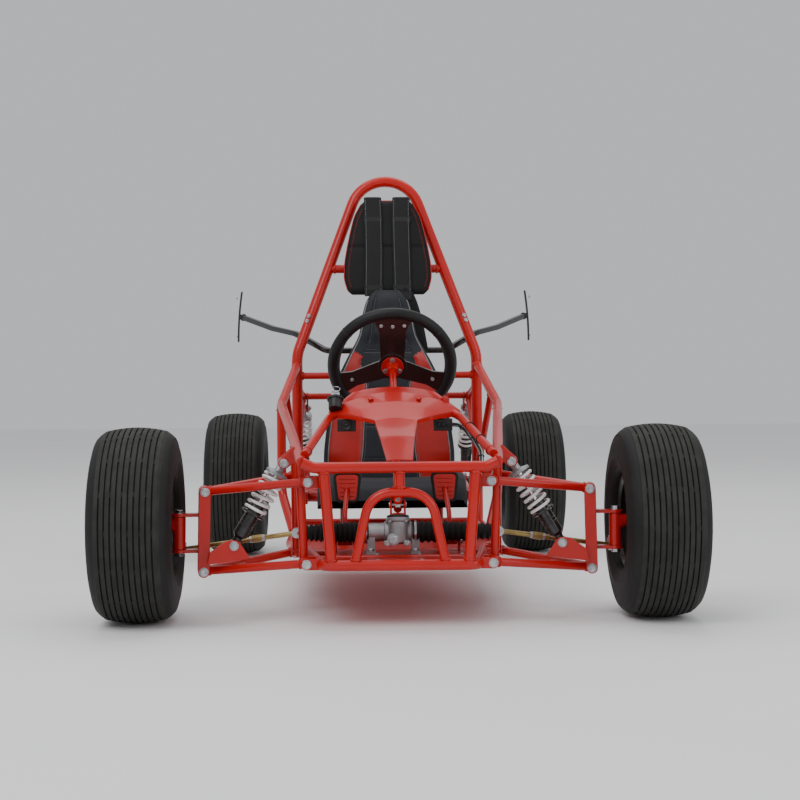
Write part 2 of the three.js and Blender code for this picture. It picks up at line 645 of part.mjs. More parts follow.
// One bent square bar behind the hoop that carries both rear fenders' mounting strips.
function fenderBar() {
  const corners = [[8, 8], [-8, 8], [-8, -8], [8, -8]];
  const square = new THREE.Shape(corners.map(([x, y]) => new THREE.Vector2(x, y)));
  const backY = hoopY(652) + HOOP_TUBE / 2 + 14;
  const tip = V(REAR_TRACK / 2 - 28, REAR_Y - 120, 767);
  const path = [tip, V(345, 430, 724), V(270, backY + 42, 704), V(180, backY, 652)];
  const bar = along(filleted([
    ...path, ...path.slice().reverse().map((p) => mirror(p, -1)),
  ], 45), square);
  const strips = both((side) => moulded([1, 1, 4], (u, v, w) => V(
    side * (tip.x + 8 - 6 * w - 3 * w * w + u * 3), tip.y + v * 8, tip.z + w * 80)));
  const clamps = both((side) => {
    const x = hoopX(690) - 4;
    return box(V(side * x - 10, hoopY(690) + HOOP_TUBE / 2 + FIT, 680), V(side * x + 10, backY + 30, 702));
  });
  return cut(join(bar, strips, clamps), hoopLoop(2 * FIT));
}

place('bulkhead', bulkhead(), RED);
placePair('side_frame', sideFrame(), RED);
place('floor_frame', floorFrame(), RED);
place('roll_hoop', rollHoop(), RED);
place('rear_subframe', rearSubframe(), RED);
place('dash_cowl', dashCowl(), RED);
place('fender_bar', fenderBar(), BLACK);

// ---- seat, pad and harness ----------------------------------------------------------------------

function seatBase() {
  const tops = [262, 292, 298, 288, 272, 264, 264];
  return moulded([4, tops.length - 1, 1], (u, v, w) => {
    const t = (v + 1) / 2;
    const bolster = 22 * Math.abs(u) ** 3 * Math.sin(Math.PI * Math.min(t * 1.4, 1));
    const round = t < 0.01 ? 10 : 0;
    return V(u * (SEAT_HALF - round * 2), mix(SEAT_FRONT_Y, SEAT_BACK_Y, t),
      w > 0 ? table(tops, t) + bolster : SEAT_BASE_Z + round);
  });
}

function seatBack() {
  const halves = [178, 188, 186, 178, 166, 150, 118, 82, 72, 52];
  const low = SEAT_BASE_Z + 8;
  return moulded([4, 1, halves.length - 1], (u, v, w) => {
    const t = (w + 1) / 2;
    const z = mix(low, SEAT_TOP_Z, t);
    const front = SEAT_BACK_Y + FIT + (z - low) * Math.tan(RECLINE);
    const wing = t > 0.15 && t < 0.7 ? 34 * Math.abs(u) ** 3 : 0;
    return V(u * table(halves, t), v < 0 ? front - wing : front + SEAT_BACK_THICK * (1 - 0.25 * u * u), z);
  });
}

const PAD_X = 4;
const padFront = (z) => hoopY(z) - HOOP_TUBE / 2 - 1 - PAD_THICK;

function backPad() {
  const halves = [116, 130, 128, 120, 110, 98, 72];
  return moulded([3, 1, halves.length - 1], (u, v, w) => {
    const t = (w + 1) / 2;
    const z = mix(PAD_BOTTOM_Z, PAD_TOP_Z, t);
    const soft = 7 * Math.max(u * u, (w * w) ** 3);
    return V(PAD_X + u * table(halves, t), padFront(z) + (v < 0 ? soft : PAD_THICK), z);
  });
}

// Two shoulder belts over the pad's face, joined by the strap that goes over the pad's top edge.
function harness() {
  const topZ = PAD_TOP_Z + FIT;
  const belt = (side) => moulded([1, 1, 6], (u, v, w) => {
    const z = mix(PAD_BOTTOM_Z - 6, topZ + BELT_THICK, (w + 1) / 2);
    const x = PAD_X + side * BELT_X + u * BELT_HALF;
    return V(x, padFront(z) - FIT - (v < 0 ? BELT_THICK : 0), z);
  });
  const over = box(
    V(PAD_X - BELT_X - BELT_HALF, padFront(topZ) - FIT - 2, topZ),
    V(PAD_X + BELT_X + BELT_HALF, padFront(topZ) + PAD_THICK - 4, topZ + BELT_THICK));
  const tail = moulded([1, 1, 4], (u, v, w) => {
    const t = (1 - w) / 2;
    const z = mix(PAD_BOTTOM_Z + 6, 640, t);
    return V(PAD_X + mix(BELT_X, 100, Math.sqrt(t)) + u * 19,
      padFront(PAD_BOTTOM_Z) - FIT - (v < 0 ? BELT_THICK : 0), z);
  });
  return join(belt(-1), belt(1), over, tail);
}

place('seat_base', seatBase(), CHARCOAL);
place('seat_back', seatBack(), CHARCOAL);
place('back_pad', backPad(), BLACK);
place('harness', harness(), BLACK);

// ---- steering -----------------------------------------------------------------------------------

const onX = (x, dia = RACK_TUBE) => (to) => rod(V(x, RACK_Y, RACK_Z), V(to, RACK_Y, RACK_Z), dia);

function rackHousing() {
  const tube = onX(RACK_TUBE_RIGHT_X)(RACK_TUBE_LEFT_X);
  const up = (s) => PINION_FOOT.clone().addScaledVector(PINION_DIR, s);
  const tower = rod(up(-20), up(TOWER_HEIGHT), TOWER_DIA);
  const flange = rod(up(-20), up(-12), TOWER_DIA + 10);
  const feet = [RACK_TUBE_RIGHT_X + 22, RACK_TUBE_LEFT_X - 10].map((x) => join(
    box(V(x - 9, RACK_Y - 30, RACK_PLATE_Z + FIT), V(x + 9, RACK_Y + 30, RACK_PLATE_Z + 8)),
    box(V(x - 9, RACK_Y - 12, RACK_PLATE_Z + 6), V(x + 9, RACK_Y + 12, RACK_Z - 10)),
    both((end) => rod(V(x, RACK_Y + end * 22, RACK_PLATE_Z + 7),
      V(x, RACK_Y + end * 22, RACK_PLATE_Z + 15), 13, 6))));
  const barBore = hole(V(RACK_TUBE_RIGHT_X - 5, RACK_Y, RACK_Z), V(RACK_TUBE_LEFT_X + 5, RACK_Y, RACK_Z),
    RACK_BAR_DIA + 2 * FIT);
  const pinionBore = hole(up(-PINION_DIA / 2 - 4), up(TOWER_HEIGHT + 5), PINION_DIA + 2 * FIT);
  return cut(join(tube, tower, flange, feet), barBore, pinionBore);
}

// A fork at each end of the rack bar takes a tie rod's inner eye.
function rackBar() {
  const end = (side) => {
    const x = side * RACK_END_X;
    const block = rod(V(x - side * 24, RACK_Y, RACK_Z), V(x + side * 6, RACK_Y, RACK_Z), RACK_BAR_DIA + 6);
    const slot = box(
      V(Math.min(x - side * 11, x + side * 12), RACK_Y - TIE_EYE_WIDTH / 2 - FIT, RACK_Z - 20),
      V(Math.max(x - side * 11, x + side * 12), RACK_Y + TIE_EYE_WIDTH / 2 + FIT, RACK_Z + 20));
    const pin = rod(V(x, RACK_Y - 10, RACK_Z), V(x, RACK_Y + 10, RACK_Z), TIE_PIN_DIA);
    return join(cut(block, slot), pin);
  };
  const pinionRoom = rod(PINION_FOOT.clone().addScaledVector(PINION_DIR, -40),
    PINION_FOOT.clone().addScaledVector(PINION_DIR, 40), PINION_DIA + 2 * FIT);
  const bar = onX(-RACK_END_X + 20, RACK_BAR_DIA)(RACK_END_X - 20);
  return cut(join(bar, both(end)), pinionRoom);
}

function bellows(from, side) {
  const length = RACK_END_X + 6 - from;
  const profile = [[NECK_BORE + 4, length], [NECK_BORE, length], [NECK_BORE, length - 10],
    [BELLOWS_DIA / 2 - 11, length - 16], [BELLOWS_DIA / 2 - 11, FIT], [BELLOWS_DIA / 2 - 4, FIT]];
  const pitch = (length - 24) / BELLOWS_WAVES;
  for (let i = 0; i < BELLOWS_WAVES; i += 1) {
    const taper = i > BELLOWS_WAVES - 3 ? 4 : 0;
    profile.push([BELLOWS_DIA / 2 - taper, 8 + pitch * (i + 0.3)],
      [BELLOWS_DIA / 2 - 6 - taper, 8 + pitch * (i + 0.9)]);
  }
  const sleeve = turned(profile, 10).rotateZ(-side * Math.PI / 2);
  return solid(sleeve.translate(side * from, RACK_Y, RACK_Z));
}

// A yoke whose two ears lie along 'across' and whose base looks back along 'back' from the centre.
function yoke(centre, back, across, pinFrom, pinTo) {
  const at = (b, a) => centre.clone().addScaledVector(back, b).addScaledVector(across, a);
  const basis = new THREE.Matrix4().makeBasis(across, back.clone().cross(across), back).setPosition(centre);
  const inJoint = (body) => solid(geometryOf(body).applyMatrix4(basis));
  const ears = both((s) => box(
    V(s > 0 ? YOKE_REACH - 4 : -YOKE_REACH, -7, -8),
      V(s > 0 ? YOKE_REACH : -YOKE_REACH + 4, 7, YOKE_THROAT + 4)));
  const base = box(V(-YOKE_REACH, -7, YOKE_THROAT), V(YOKE_REACH, 7, YOKE_THROAT + 6));
  const pins = both((s) => rod(at(0, s * pinFrom), at(0, s * pinTo), 7));
  return join(inJoint(join(ears, base)), pins);
}

const xAxis = V(1, 0, 0);
const acrossColumn = COLUMN_DIR.clone().cross(xAxis).normalize();
const acrossPinion = PINION_DIR.clone().cross(xAxis).normalize();

function steeringColumn() {
  const from = UPPER_JOINT.clone().addScaledVector(COLUMN_DIR, YOKE_THROAT + 3);
  const shaft = rod(from, WHEEL_HUB.clone().addScaledVector(COLUMN_DIR, -6), SHAFT_DIA);
  const flange = rod(WHEEL_HUB.clone().addScaledVector(COLUMN_DIR, -8), WHEEL_HUB, 58);
  const neck = rod(WHEEL_HUB.clone().addScaledVector(COLUMN_DIR, -26),
    WHEEL_HUB.clone().addScaledVector(COLUMN_DIR, -7), 28);
  return join(shaft, flange, neck,
    yoke(UPPER_JOINT, COLUMN_DIR, acrossColumn, YOKE_PIN_START, YOKE_REACH + 2));
}

function steeringShaft() {
  const down = SHAFT_DIR.clone().negate();
  const shaft = rod(LOWER_JOINT.clone().addScaledVector(SHAFT_DIR, YOKE_THROAT + 3),
    UPPER_JOINT.clone().addScaledVector(SHAFT_DIR, -YOKE_THROAT - 3), SHAFT_DIA);
  return join(shaft,
    yoke(UPPER_JOINT, down, xAxis, 0, YOKE_REACH + 2), ball(UPPER_JOINT, YOKE_BALL),
    yoke(LOWER_JOINT, SHAFT_DIR, xAxis, 0, YOKE_REACH + 2), ball(LOWER_JOINT, YOKE_BALL));
}

function pinionShaft() {
  const up = (s) => PINION_FOOT.clone().addScaledVector(PINION_DIR, s);
  const shaft = rod(up(-PINION_DIA / 2), up(PINION_HEIGHT - YOKE_THROAT - 3), PINION_DIA);
  return join(shaft, yoke(LOWER_JOINT, PINION_DIR.clone().negate(), acrossPinion, YOKE_PIN_START,
    YOKE_REACH + 2));
}

// Round grip with a slightly flat bottom and three flat spokes, in the plane square to the column.
function steeringWheel() {
  const radius = (WHEEL_DIA - WHEEL_GRIP) / 2;
  const grip = new THREE.TorusGeometry(radius, WHEEL_GRIP / 2, 6, 20);
  const spots = grip.attributes.position;
  for (let i = 0; i < spots.count; i += 1) {
    const y = spots.getY(i);
    if (y < -0.8 * radius) spots.setY(i, -0.8 * radius + (y + 0.8 * radius) * 0.6);
  }
  const spoke = (angle, root, tip) => {
    const outline = new THREE.Shape([
      new THREE.Vector2(-root, 0), new THREE.Vector2(root, 0),
      new THREE.Vector2(tip, radius), new THREE.Vector2(-tip, radius)]);
    return solid(new THREE.ExtrudeGeometry(outline, { depth: 5, bevelEnabled: false }).rotateZ(angle));
  };
  const hub = solid(new THREE.CylinderGeometry(38, 38, 5, 12).rotateX(Math.PI / 2).translate(0, 0, 2.5));
  const flatWheel = join(solid(grip.translate(0, 0, 4)), hub, spoke(0, 34, 52), spoke(110 * DEG, 24, 18),
    spoke(-110 * DEG, 24, 18));
  const up = COLUMN_DIR.clone().cross(xAxis).negate();
  const upright = up.z > 0 ? up : up.negate();
  const basis = new THREE.Matrix4().makeBasis(upright.clone().cross(COLUMN_DIR), upright, COLUMN_DIR)
    .setPosition(WHEEL_HUB.clone().addScaledVector(COLUMN_DIR, FIT));
  return solid(geometryOf(flatWheel).applyMatrix4(basis));
}

const TIE_FOOT = V(RACK_END_X, RACK_Y, RACK_Z);
const TIE_HEAD_TOP = STEER_ARM_Z - TIE_GAP;
const TIE_HEAD = V(KINGPIN_X, FRONT_Y + STEER_ARM, TIE_HEAD_TOP - TIE_END_HEIGHT / 2);

function tieRod() {
  const eye = rod(V(TIE_FOOT.x, RACK_Y - TIE_EYE_WIDTH / 2, RACK_Z),
    V(TIE_FOOT.x, RACK_Y + TIE_EYE_WIDTH / 2, RACK_Z), 15);
  const bar = rod(TIE_FOOT.clone().lerp(TIE_HEAD, 0.02), TIE_HEAD, TIE_ROD_DIA, 8);
  const blade = rod(TIE_FOOT, TIE_FOOT.clone().lerp(TIE_HEAD, 0.08), TIE_EYE_WIDTH - 2);
  const adjuster = rod(TIE_FOOT.clone().lerp(TIE_HEAD, 0.3), TIE_FOOT.clone().lerp(TIE_HEAD, 0.38),
    TIE_ROD_DIA + 7, 6);
  const end = rod(V(TIE_HEAD.x, TIE_HEAD.y, TIE_HEAD_TOP - TIE_END_HEIGHT),
    V(TIE_HEAD.x, TIE_HEAD.y, TIE_HEAD_TOP), 24);
  const nut = rod(V(TIE_HEAD.x, TIE_HEAD.y, TIE_HEAD_TOP - TIE_END_HEIGHT - 7),
    V(TIE_HEAD.x, TIE_HEAD.y, TIE_HEAD_TOP - 4), 15, 6);
  const start = cut(bar, hole(V(TIE_FOOT.x, RACK_Y - 30, RACK_Z), V(TIE_FOOT.x, RACK_Y + 30, RACK_Z),
    2 * TIE_BLADE));
  const pinHole = hole(V(TIE_FOOT.x, RACK_Y - 20, RACK_Z), V(TIE_FOOT.x, RACK_Y + 20, RACK_Z),
    TIE_PIN_DIA + 2 * FIT);
  return cut(join(eye, blade, start, adjuster, end, nut), pinHole);
}

place('rack_housing', rackHousing(), STEEL);
place('rack_bar', rackBar(), STEEL);
place('bellows_left', bellows(RACK_TUBE_LEFT_X, 1), RUBBER);
place('bellows_right', bellows(-RACK_TUBE_RIGHT_X, -1), RUBBER);
place('pinion_shaft', pinionShaft(), RED);
place('steering_shaft', steeringShaft(), RED);
place('steering_column', steeringColumn(), RED);
place('steering_wheel', steeringWheel(), BLACK);
placePair('tie_rod', tieRod(), GOLD);

// ---- front corners: arms, upright, spindle ------------------------------------------------------

// A pivot tube along y, and the hole through it.
const boss = (at) => rod(V(at.x, at.y - BOSS_LENGTH / 2, at.z), V(at.x, at.y + BOSS_LENGTH / 2, at.z),
  BOSS_DIA);
const bossHole = (at) => hole(V(at.x, at.y - BOSS_LENGTH, at.z), V(at.x, at.y + BOSS_LENGTH, at.z),
  BOLT + 2 * FIT);

function wishbone(inner, outer) {
  const rear = inner.clone().add(V(0, PIVOT_SPREAD, 0));
  const legs = [inner, rear].map((end) => rod(end, outer, ARM_TUBE));
  const bosses = [inner, rear, outer];
  return { body: join(legs, bosses.map(boss)), holes: bosses.map(bossHole) };
}

function upperArm() {
  const { body, holes } = wishbone(UPPER_INNER, UPPER_OUTER);
  return cut(body, holes);
}

// The lower arm also carries the shock absorber between two plates on a gusset.
function lowerArm() {
  const { body, holes } = wishbone(V(0, 0, 0), LOWER_OUTER);
  const slope = (x) => -ARM_DROP * x / ARM_REACH;
  const frontLeg = (x) => ARM_BACKSET * x / ARM_REACH;
  const rearLeg = (x) => PIVOT_SPREAD - (PIVOT_SPREAD - ARM_BACKSET) * x / ARM_REACH;
  const gusset = moulded([1, 1, 1], (u, v, w) => {
    const x = SHOCK_FOOT.x + (u < 0 ? -30 : 34);
    return V(x, v < 0 ? frontLeg(x) : rearLeg(x), slope(x) + w * 2.5);
  });
  const { x, y, z } = SHOCK_FOOT;
  const half = SHOCK_EYE_WIDTH / 2 + FIT;
  const frontPlate = plateXZ(new THREE.Shape([
    [x - 38, slope(x - 38)], [x + 62, slope(x + 62)], [x + 56, z - 14], [x + 16, z + 12], [x - 10, z + 12],
  ].map(([px, pz]) => new THREE.Vector2(px, pz))), y - half - PLATE / 2, PLATE);
  const rearPlate = plateXZ(linkOutline(new THREE.Vector2(x, slope(x) + 12), flat(SHOCK_FOOT),
    SHOCK_EYE_DIA / 2 + 1),
    y + half + PLATE / 2, PLATE);
  return cut(join(body, gusset, frontPlate, rearPlate, bolt(SHOCK_FOOT, half + PLATE)), holes);
}

const kingpinAt = (z) => V(KINGPIN_X, FRONT_Y, z).applyMatrix4(CORNER.clone().invert());

function upright() {
  const half = BOSS_LENGTH / 2 + FIT;
  const outline = linkOutline(flat(LOWER_OUTER), flat(UPPER_OUTER), BOSS_DIA / 2, true);
  const plates = both((end) => plateXZ(outline, ARM_BACKSET + end * (half + PLATE / 2), PLATE));
  const low = LOWER_OUTER.z + BOSS_DIA / 2 + 7;
  const high = UPPER_OUTER.z - BOSS_DIA / 2 - 7;
  const core = box(V(UPPER_OUTER.x - 11, ARM_BACKSET - half - 1, low),
    V(LOWER_OUTER.x + 12, ARM_BACKSET + half + 1, high));
  const bracket = [[BARREL_BOTTOM_Z - FIT - 8, BARREL_BOTTOM_Z - FIT],
    [BARREL_TOP_Z + FIT, BARREL_TOP_Z + FIT + 8]]
    .map(([bottom, top]) => {
      const a = kingpinAt(bottom);
      const b = kingpinAt(top);
      return join(rod(a, b, BARREL_DIA + 4), box(V(LOWER_OUTER.x, a.y - 14, a.z), V(a.x, a.y + 14, b.z)));
    });
  const pin = join(rod(kingpinAt(BARREL_BOTTOM_Z - 14), kingpinAt(BARREL_TOP_Z + 10), KINGPIN_DIA),
    rod(kingpinAt(BARREL_TOP_Z + 7), kingpinAt(BARREL_TOP_Z + 16), 20, 6),
    rod(kingpinAt(BARREL_BOTTOM_Z - 7), kingpinAt(BARREL_BOTTOM_Z - 15), 20, 6));
  const bolts = [LOWER_OUTER, UPPER_OUTER].map((at) => bolt(at, half + PLATE));
  return join(plates, core, bracket, pin, bolts);
}

const WHEEL_HALF = RIM_WIDTH / 2;
const WHEEL_FRONT_X = FRONT_TRACK / 2;
const WHEEL_REAR_X = REAR_TRACK / 2;

function spindle() {
  const at = (z) => V(KINGPIN_X, FRONT_Y, z);
  const barrel = rod(at(BARREL_BOTTOM_Z), at(BARREL_TOP_Z), BARREL_DIA);
  const stub = rod(V(KINGPIN_X, FRONT_Y, AXLE_Z), V(WHEEL_FRONT_X + HUB_OUT + 14, FRONT_Y, AXLE_Z),
    STUB_DIA);
  const nut = rod(V(WHEEL_FRONT_X + HUB_OUT + FIT, FRONT_Y, AXLE_Z),
    V(WHEEL_FRONT_X + HUB_OUT + 12, FRONT_Y, AXLE_Z), 30, 6);
  const collar = rod(V(KINGPIN_X, FRONT_Y, AXLE_Z), V(WHEEL_FRONT_X - HUB_IN - FIT, FRONT_Y, AXLE_Z),
    STUB_DIA + 8);
  const arm = box(V(KINGPIN_X - 11, FRONT_Y, STEER_ARM_Z),
    V(KINGPIN_X + 11, FRONT_Y + STEER_ARM, STEER_ARM_Z + STEER_ARM_THICK));
  const armEnd = (z) => V(KINGPIN_X, FRONT_Y + STEER_ARM, z);
  const end = rod(armEnd(STEER_ARM_Z), armEnd(STEER_ARM_Z + STEER_ARM_THICK), 22);
  const head = rod(armEnd(STEER_ARM_Z + STEER_ARM_THICK - 1), armEnd(STEER_ARM_Z + STEER_ARM_THICK + 6),
    15, 6);
  const bore = hole(at(BARREL_BOTTOM_Z - 5), at(BARREL_TOP_Z + 5), KINGPIN_DIA + 2 * FIT);
  return cut(join(barrel, stub, nut, collar, arm, end, head), bore);
}

placePair('lower_arm', lowerArm(), RED, corners);
placePair('upper_arm', upperArm(), RED, corners);
placePair('upright', upright(), RED, corners);
placePair('spindle', spindle(), RED);

// ---- wheels -------------------------------------------------------------------------------------

const RIM_SEAT = RIM_SEAT_DIA / 2;

// Both profiles are (radius, distance outward from the wheel's centre plane).
function rim(boreDia) {
  const bore = boreDia / 2 + FIT;
  const inside = RIM_SEAT - RIM_WALL;
  const seat = WHEEL_HALF - 8;
  const hub = bore + 14;
  const flange = RIM_SEAT + RIM_FLANGE;
  const profile = [
    [bore, -HUB_IN], [hub, -HUB_IN], [hub, RIM_DISC - 5], [inside, RIM_DISC - 5],
    [inside, -WHEEL_HALF], [flange, -WHEEL_HALF], [RIM_SEAT, -seat], [RIM_SEAT, seat],
    [flange, WHEEL_HALF], [inside, WHEEL_HALF], [inside, RIM_DISC], [hub, RIM_DISC], [hub, HUB_OUT],
    [bore, HUB_OUT],
  ];
  return solid(turned(profile, TYRE_SIDES).rotateY(Math.PI / TYRE_SIDES).rotateZ(-Math.PI / 2));
}

function tyre() {
  const tread = TYRE_DIA / 2 / Math.cos(Math.PI / TYRE_SIDES);
  const half = TYRE_WIDTH / 2;
  const bead = RIM_SEAT / Math.cos(Math.PI / TYRE_SIDES) + FIT;
  const seat = WHEEL_HALF - 9;
  const over = RIM_SEAT + RIM_FLANGE + 3;
  const shoulder = tread - 14;
  const outer = [[bead, seat], [over, seat], [mix(over, shoulder, 0.4), half], [shoulder, half - 6],
    [tread, half - 36]];
  const inner = [[bead, seat - TYRE_WALL], [shoulder - TYRE_WALL, half - TYRE_WALL - 8]];
  const other = (side) => side.slice().reverse().map(([r, x]) => [r, -x]);
  const profile = [...outer, ...other(outer), ...other(inner).reverse(), ...inner.slice().reverse()];
  return solid(turned(profile, TYRE_SIDES).rotateY(Math.PI / TYRE_SIDES).rotateZ(-Math.PI / 2));
}

function placeWheel(name, side, x, y, boreDia) {
  const wheel = new THREE.Group();
  wheel.position.set(side * x, y, AXLE_Z);
  kart.add(wheel);
  place(`rim_${name}`, rim(boreDia), BLACK, wheel, side < 0);
  place(`tyre_${name}`, tyre(), RUBBER, wheel, side < 0);
}

placeWheel('front_left', 1, WHEEL_FRONT_X, FRONT_Y, STUB_DIA);
placeWheel('front_right', -1, WHEEL_FRONT_X, FRONT_Y, STUB_DIA);
placeWheel('rear_left', 1, WHEEL_REAR_X, REAR_Y, AXLE_DIA);
placeWheel('rear_right', -1, WHEEL_REAR_X, REAR_Y, AXLE_DIA);

// ---- shock absorbers ----------------------------------------------------------------------------

// Each is built with its lower eye at the origin, its axis along +Z and its eyes' bolts along y.
function shockParts(length) {
  const up = (z) => V(0, 0, z);
  const eye = (z, dia) => [
    rod(V(0, -SHOCK_EYE_WIDTH / 2, z), V(0, SHOCK_EYE_WIDTH / 2, z), SHOCK_EYE_DIA),
    hole(V(0, -SHOCK_EYE_WIDTH, z), V(0, SHOCK_EYE_WIDTH, z), dia)];
  const [lowEye, lowHole] = eye(0, BOLT + 2 * OPEN_GAP);
  const [highEye, highHole] = eye(length, BOLT + 2 * FIT);
  const capZ = length - SHOCK_CAP_DROP;
  const body = cut(join(
    lowEye, rod(up(7), up(28), SHOCK_EYE_WIDTH - 4), rod(up(26), up(SHOCK_BODY_LENGTH), SHOCK_BODY_DIA),
    rod(up(SHOCK_SEAT_Z), up(SHOCK_SEAT_Z + 6), SHOCK_SEAT_DIA),
  ), lowHole, hole(up(SHOCK_ROD_START - SHOCK_TRAVEL), up(SHOCK_BODY_LENGTH + 5), SHOCK_ROD_DIA + 2 * FIT));
  const upper = cut(join(
    highEye, rod(up(capZ + 6), up(length - 7), SHOCK_EYE_WIDTH - 4),
      rod(up(capZ), up(capZ + 8), SHOCK_SEAT_DIA),
    rod(up(SHOCK_ROD_START), up(capZ + 4), SHOCK_ROD_DIA),
  ), highHole);
  return { body, upper, spring: spring(SHOCK_SEAT_Z + 6 + FIT, capZ - FIT) };
}

function spring(from, to) {
  const turns = Math.round((to - from) / SPRING_PITCH);
  const steps = turns * 6;
  const stations = [];
  for (let i = 0; i <= steps; i += 1) {
    const angle = (2 * Math.PI * turns * i) / steps;
    const z = mix(from + SPRING_WIRE / 2 + 1, to - SPRING_WIRE / 2 - 1, i / steps);
    stations.push(V(SPRING_DIA / 2 * Math.cos(angle), SPRING_DIA / 2 * Math.sin(angle), z));
  }
  return along(stations, roundSection(SPRING_WIRE, 4));
}

function placeShock(name, parent, foot, head, eyeAxis) {
  const axis = head.clone().sub(foot);
  const parts = shockParts(axis.length());
  const mount = new THREE.Group();
  axis.normalize();
  mount.applyMatrix4(new THREE.Matrix4().makeBasis(eyeAxis.clone().cross(axis), eyeAxis, axis)
    .setPosition(foot));
  parent.add(mount);
  place(`shock_body_${name}`, parts.body, BLACK, mount);
  place(`shock_rod_${name}`, parts.upper, STEEL, mount);
  place(`spring_${name}`, parts.spring, WHITE, mount);
}

const yAxis = V(0, 1, 0);
placeShock('front_left', leftCorner, SHOCK_FOOT, SHOCK_HEAD, yAxis);
placeShock('front_right', rightCorner, mirror(SHOCK_FOOT, -1), mirror(SHOCK_HEAD, -1), yAxis);
placeShock('rear_left', kart, REAR_SHOCK_FOOT, REAR_SHOCK_HEAD, xAxis);
placeShock('rear_right', kart, mirror(REAR_SHOCK_FOOT, -1), mirror(REAR_SHOCK_HEAD, -1), xAxis);

// ---- rear swingarm and axle ---------------------------------------------------------------------

function swingarm() {
  const pivot = (x) => V(x, SWING_PIVOT_Y, SWING_PIVOT_Z);
  const end = SWING_EAR_X - FIT;
  const pivotTube = rod(pivot(-end), pivot(end), SWING_TUBE + 4);
  const bores = both((side) => hole(pivot(side * (end - SWING_PIN - 4)), pivot(side * (end + 5)),
    BOLT + 2 + 2 * FIT));
  const arms = both((side) => bent([
    mirror(V(200, SWING_PIVOT_Y, SWING_PIVOT_Z), side),
    mirror(V(REAR_SHOCK_X, SWING_PIVOT_Y + 110, SWING_PIVOT_Z + 6), side),
    mirror(V(REAR_SHOCK_X, REAR_Y - 20, AXLE_Z), side),
  ], 60, SWING_TUBE));
  const carriers = both((side) => box(
    V(side * REAR_SHOCK_X - 14, REAR_Y - 34, AXLE_Z - 30),
      V(side * REAR_SHOCK_X + 14, REAR_Y + 30, AXLE_Z + 30)));
  const across = (y, z) => rod(V(-REAR_SHOCK_X, y, z), V(REAR_SHOCK_X, y, z), SWING_TUBE - 2);
  const crossTubes = [across(SWING_PIVOT_Y + 115, SWING_PIVOT_Z + 6), across(REAR_Y - 125, AXLE_Z - 4)];
  const plate = box(V(-150, SWING_PIVOT_Y + 110, SWING_PIVOT_Z + 14),
    V(150, REAR_Y - 120, SWING_PIVOT_Z + 20));
  const foot = REAR_SHOCK_FOOT;
  const ears = both((side) =>
    sideways(shockEars(V(foot.y, 0, foot.z), V(foot.y, 0, AXLE_Z - SWING_TUBE / 2)), side * REAR_SHOCK_X));
  const axleBores = both((side) => hole(
    V(side * (REAR_SHOCK_X - 30), REAR_Y, AXLE_Z), V(side * (REAR_SHOCK_X + 30), REAR_Y, AXLE_Z),
      AXLE_DIA + 2 * FIT));
  return cut(join(pivotTube, arms, carriers, crossTubes, plate, ears), bores, axleBores);
}

function rearAxle() {
  const at = (x) => V(x, REAR_Y, AXLE_Z);
  const tip = WHEEL_REAR_X + HUB_OUT + 14;
  const disc = (x, dia, thick) => rod(at(x - thick / 2), at(x + thick / 2), dia);
  const collars = both((side) => join(
    rod(at(side * (REAR_SHOCK_X + 14.5)), at(side * (WHEEL_REAR_X - HUB_IN - FIT)), AXLE_DIA + 6),
    rod(at(side * (WHEEL_REAR_X + HUB_OUT + FIT)), at(side * (tip - 2)), AXLE_DIA + 8, 6)));
  return join(rod(at(-tip), at(tip), AXLE_DIA), collars,
    disc(120, SPROCKET_DIA, 6), disc(120, 64, 24), disc(-120, BRAKE_DISC_DIA, 4), disc(-120, 64, 24));
}

place('swingarm', swingarm(), RED);
place('rear_axle', rearAxle(), STEEL);

// ---- pedals and controls ------------------------------------------------------------------------

function pedal(side) {
  const pivot = (x) => V(side * PEDAL_X + x, PEDAL_PIVOT_Y, PEDAL_PIVOT_Z);
  const sleeve = rod(pivot(-18), pivot(18), 18);
  const knee = V(side * PEDAL_X, PEDAL_PIVOT_Y + 6, PEDAL_PAD_Z - 60);
  const padCentre = V(side * (PEDAL_X - 6), PEDAL_PAD_Y, PEDAL_PAD_Z);
  const arm = bent([pivot(0), knee, padCentre], 30, 12);
  const pad = moulded([2, 1, 1], (u, v, w) => {
    const low = w < 0 ? 0.86 : 1;
    const lean = w * 12;
    return V(padCentre.x + u * PEDAL_HALF * low, padCentre.y - lean + v * 4 + 2,
      padCentre.z + w * PEDAL_HALF * 1.15);
  });
  return cut(join(sleeve, arm, pad), hole(pivot(-25), pivot(25), BOLT + 2 * FIT));
}

function keySwitch() {
  const collar = rod(onKey(26), onKey(33), KEY_BARREL_DIA + 6);
  return cut(join(keyBarrel(), collar), hole(onKey(18), onKey(40), KEY_PLUG_DIA + 2 * FIT));
}

function key() {
  const side = KEY_AXIS.clone().cross(xAxis);
  const basis = new THREE.Matrix4().makeBasis(xAxis, side.clone().negate(), KEY_AXIS).setPosition(KEY_FOOT);
  const blade = box(V(-1.5, -5, 30), V(1.5, 5, 40));
  const bow = box(V(-3, -10, 38), V(3, 10, 58));
  return join(rod(onKey(18 + FIT), onKey(33), KEY_PLUG_DIA),
    solid(geometryOf(join(blade, bow)).applyMatrix4(basis)));
}

const pushButton = () => rod(onButton(COLLAR_HEIGHT - 8), onButton(COLLAR_HEIGHT + BUTTON_RISE),
  BUTTON_DIA);

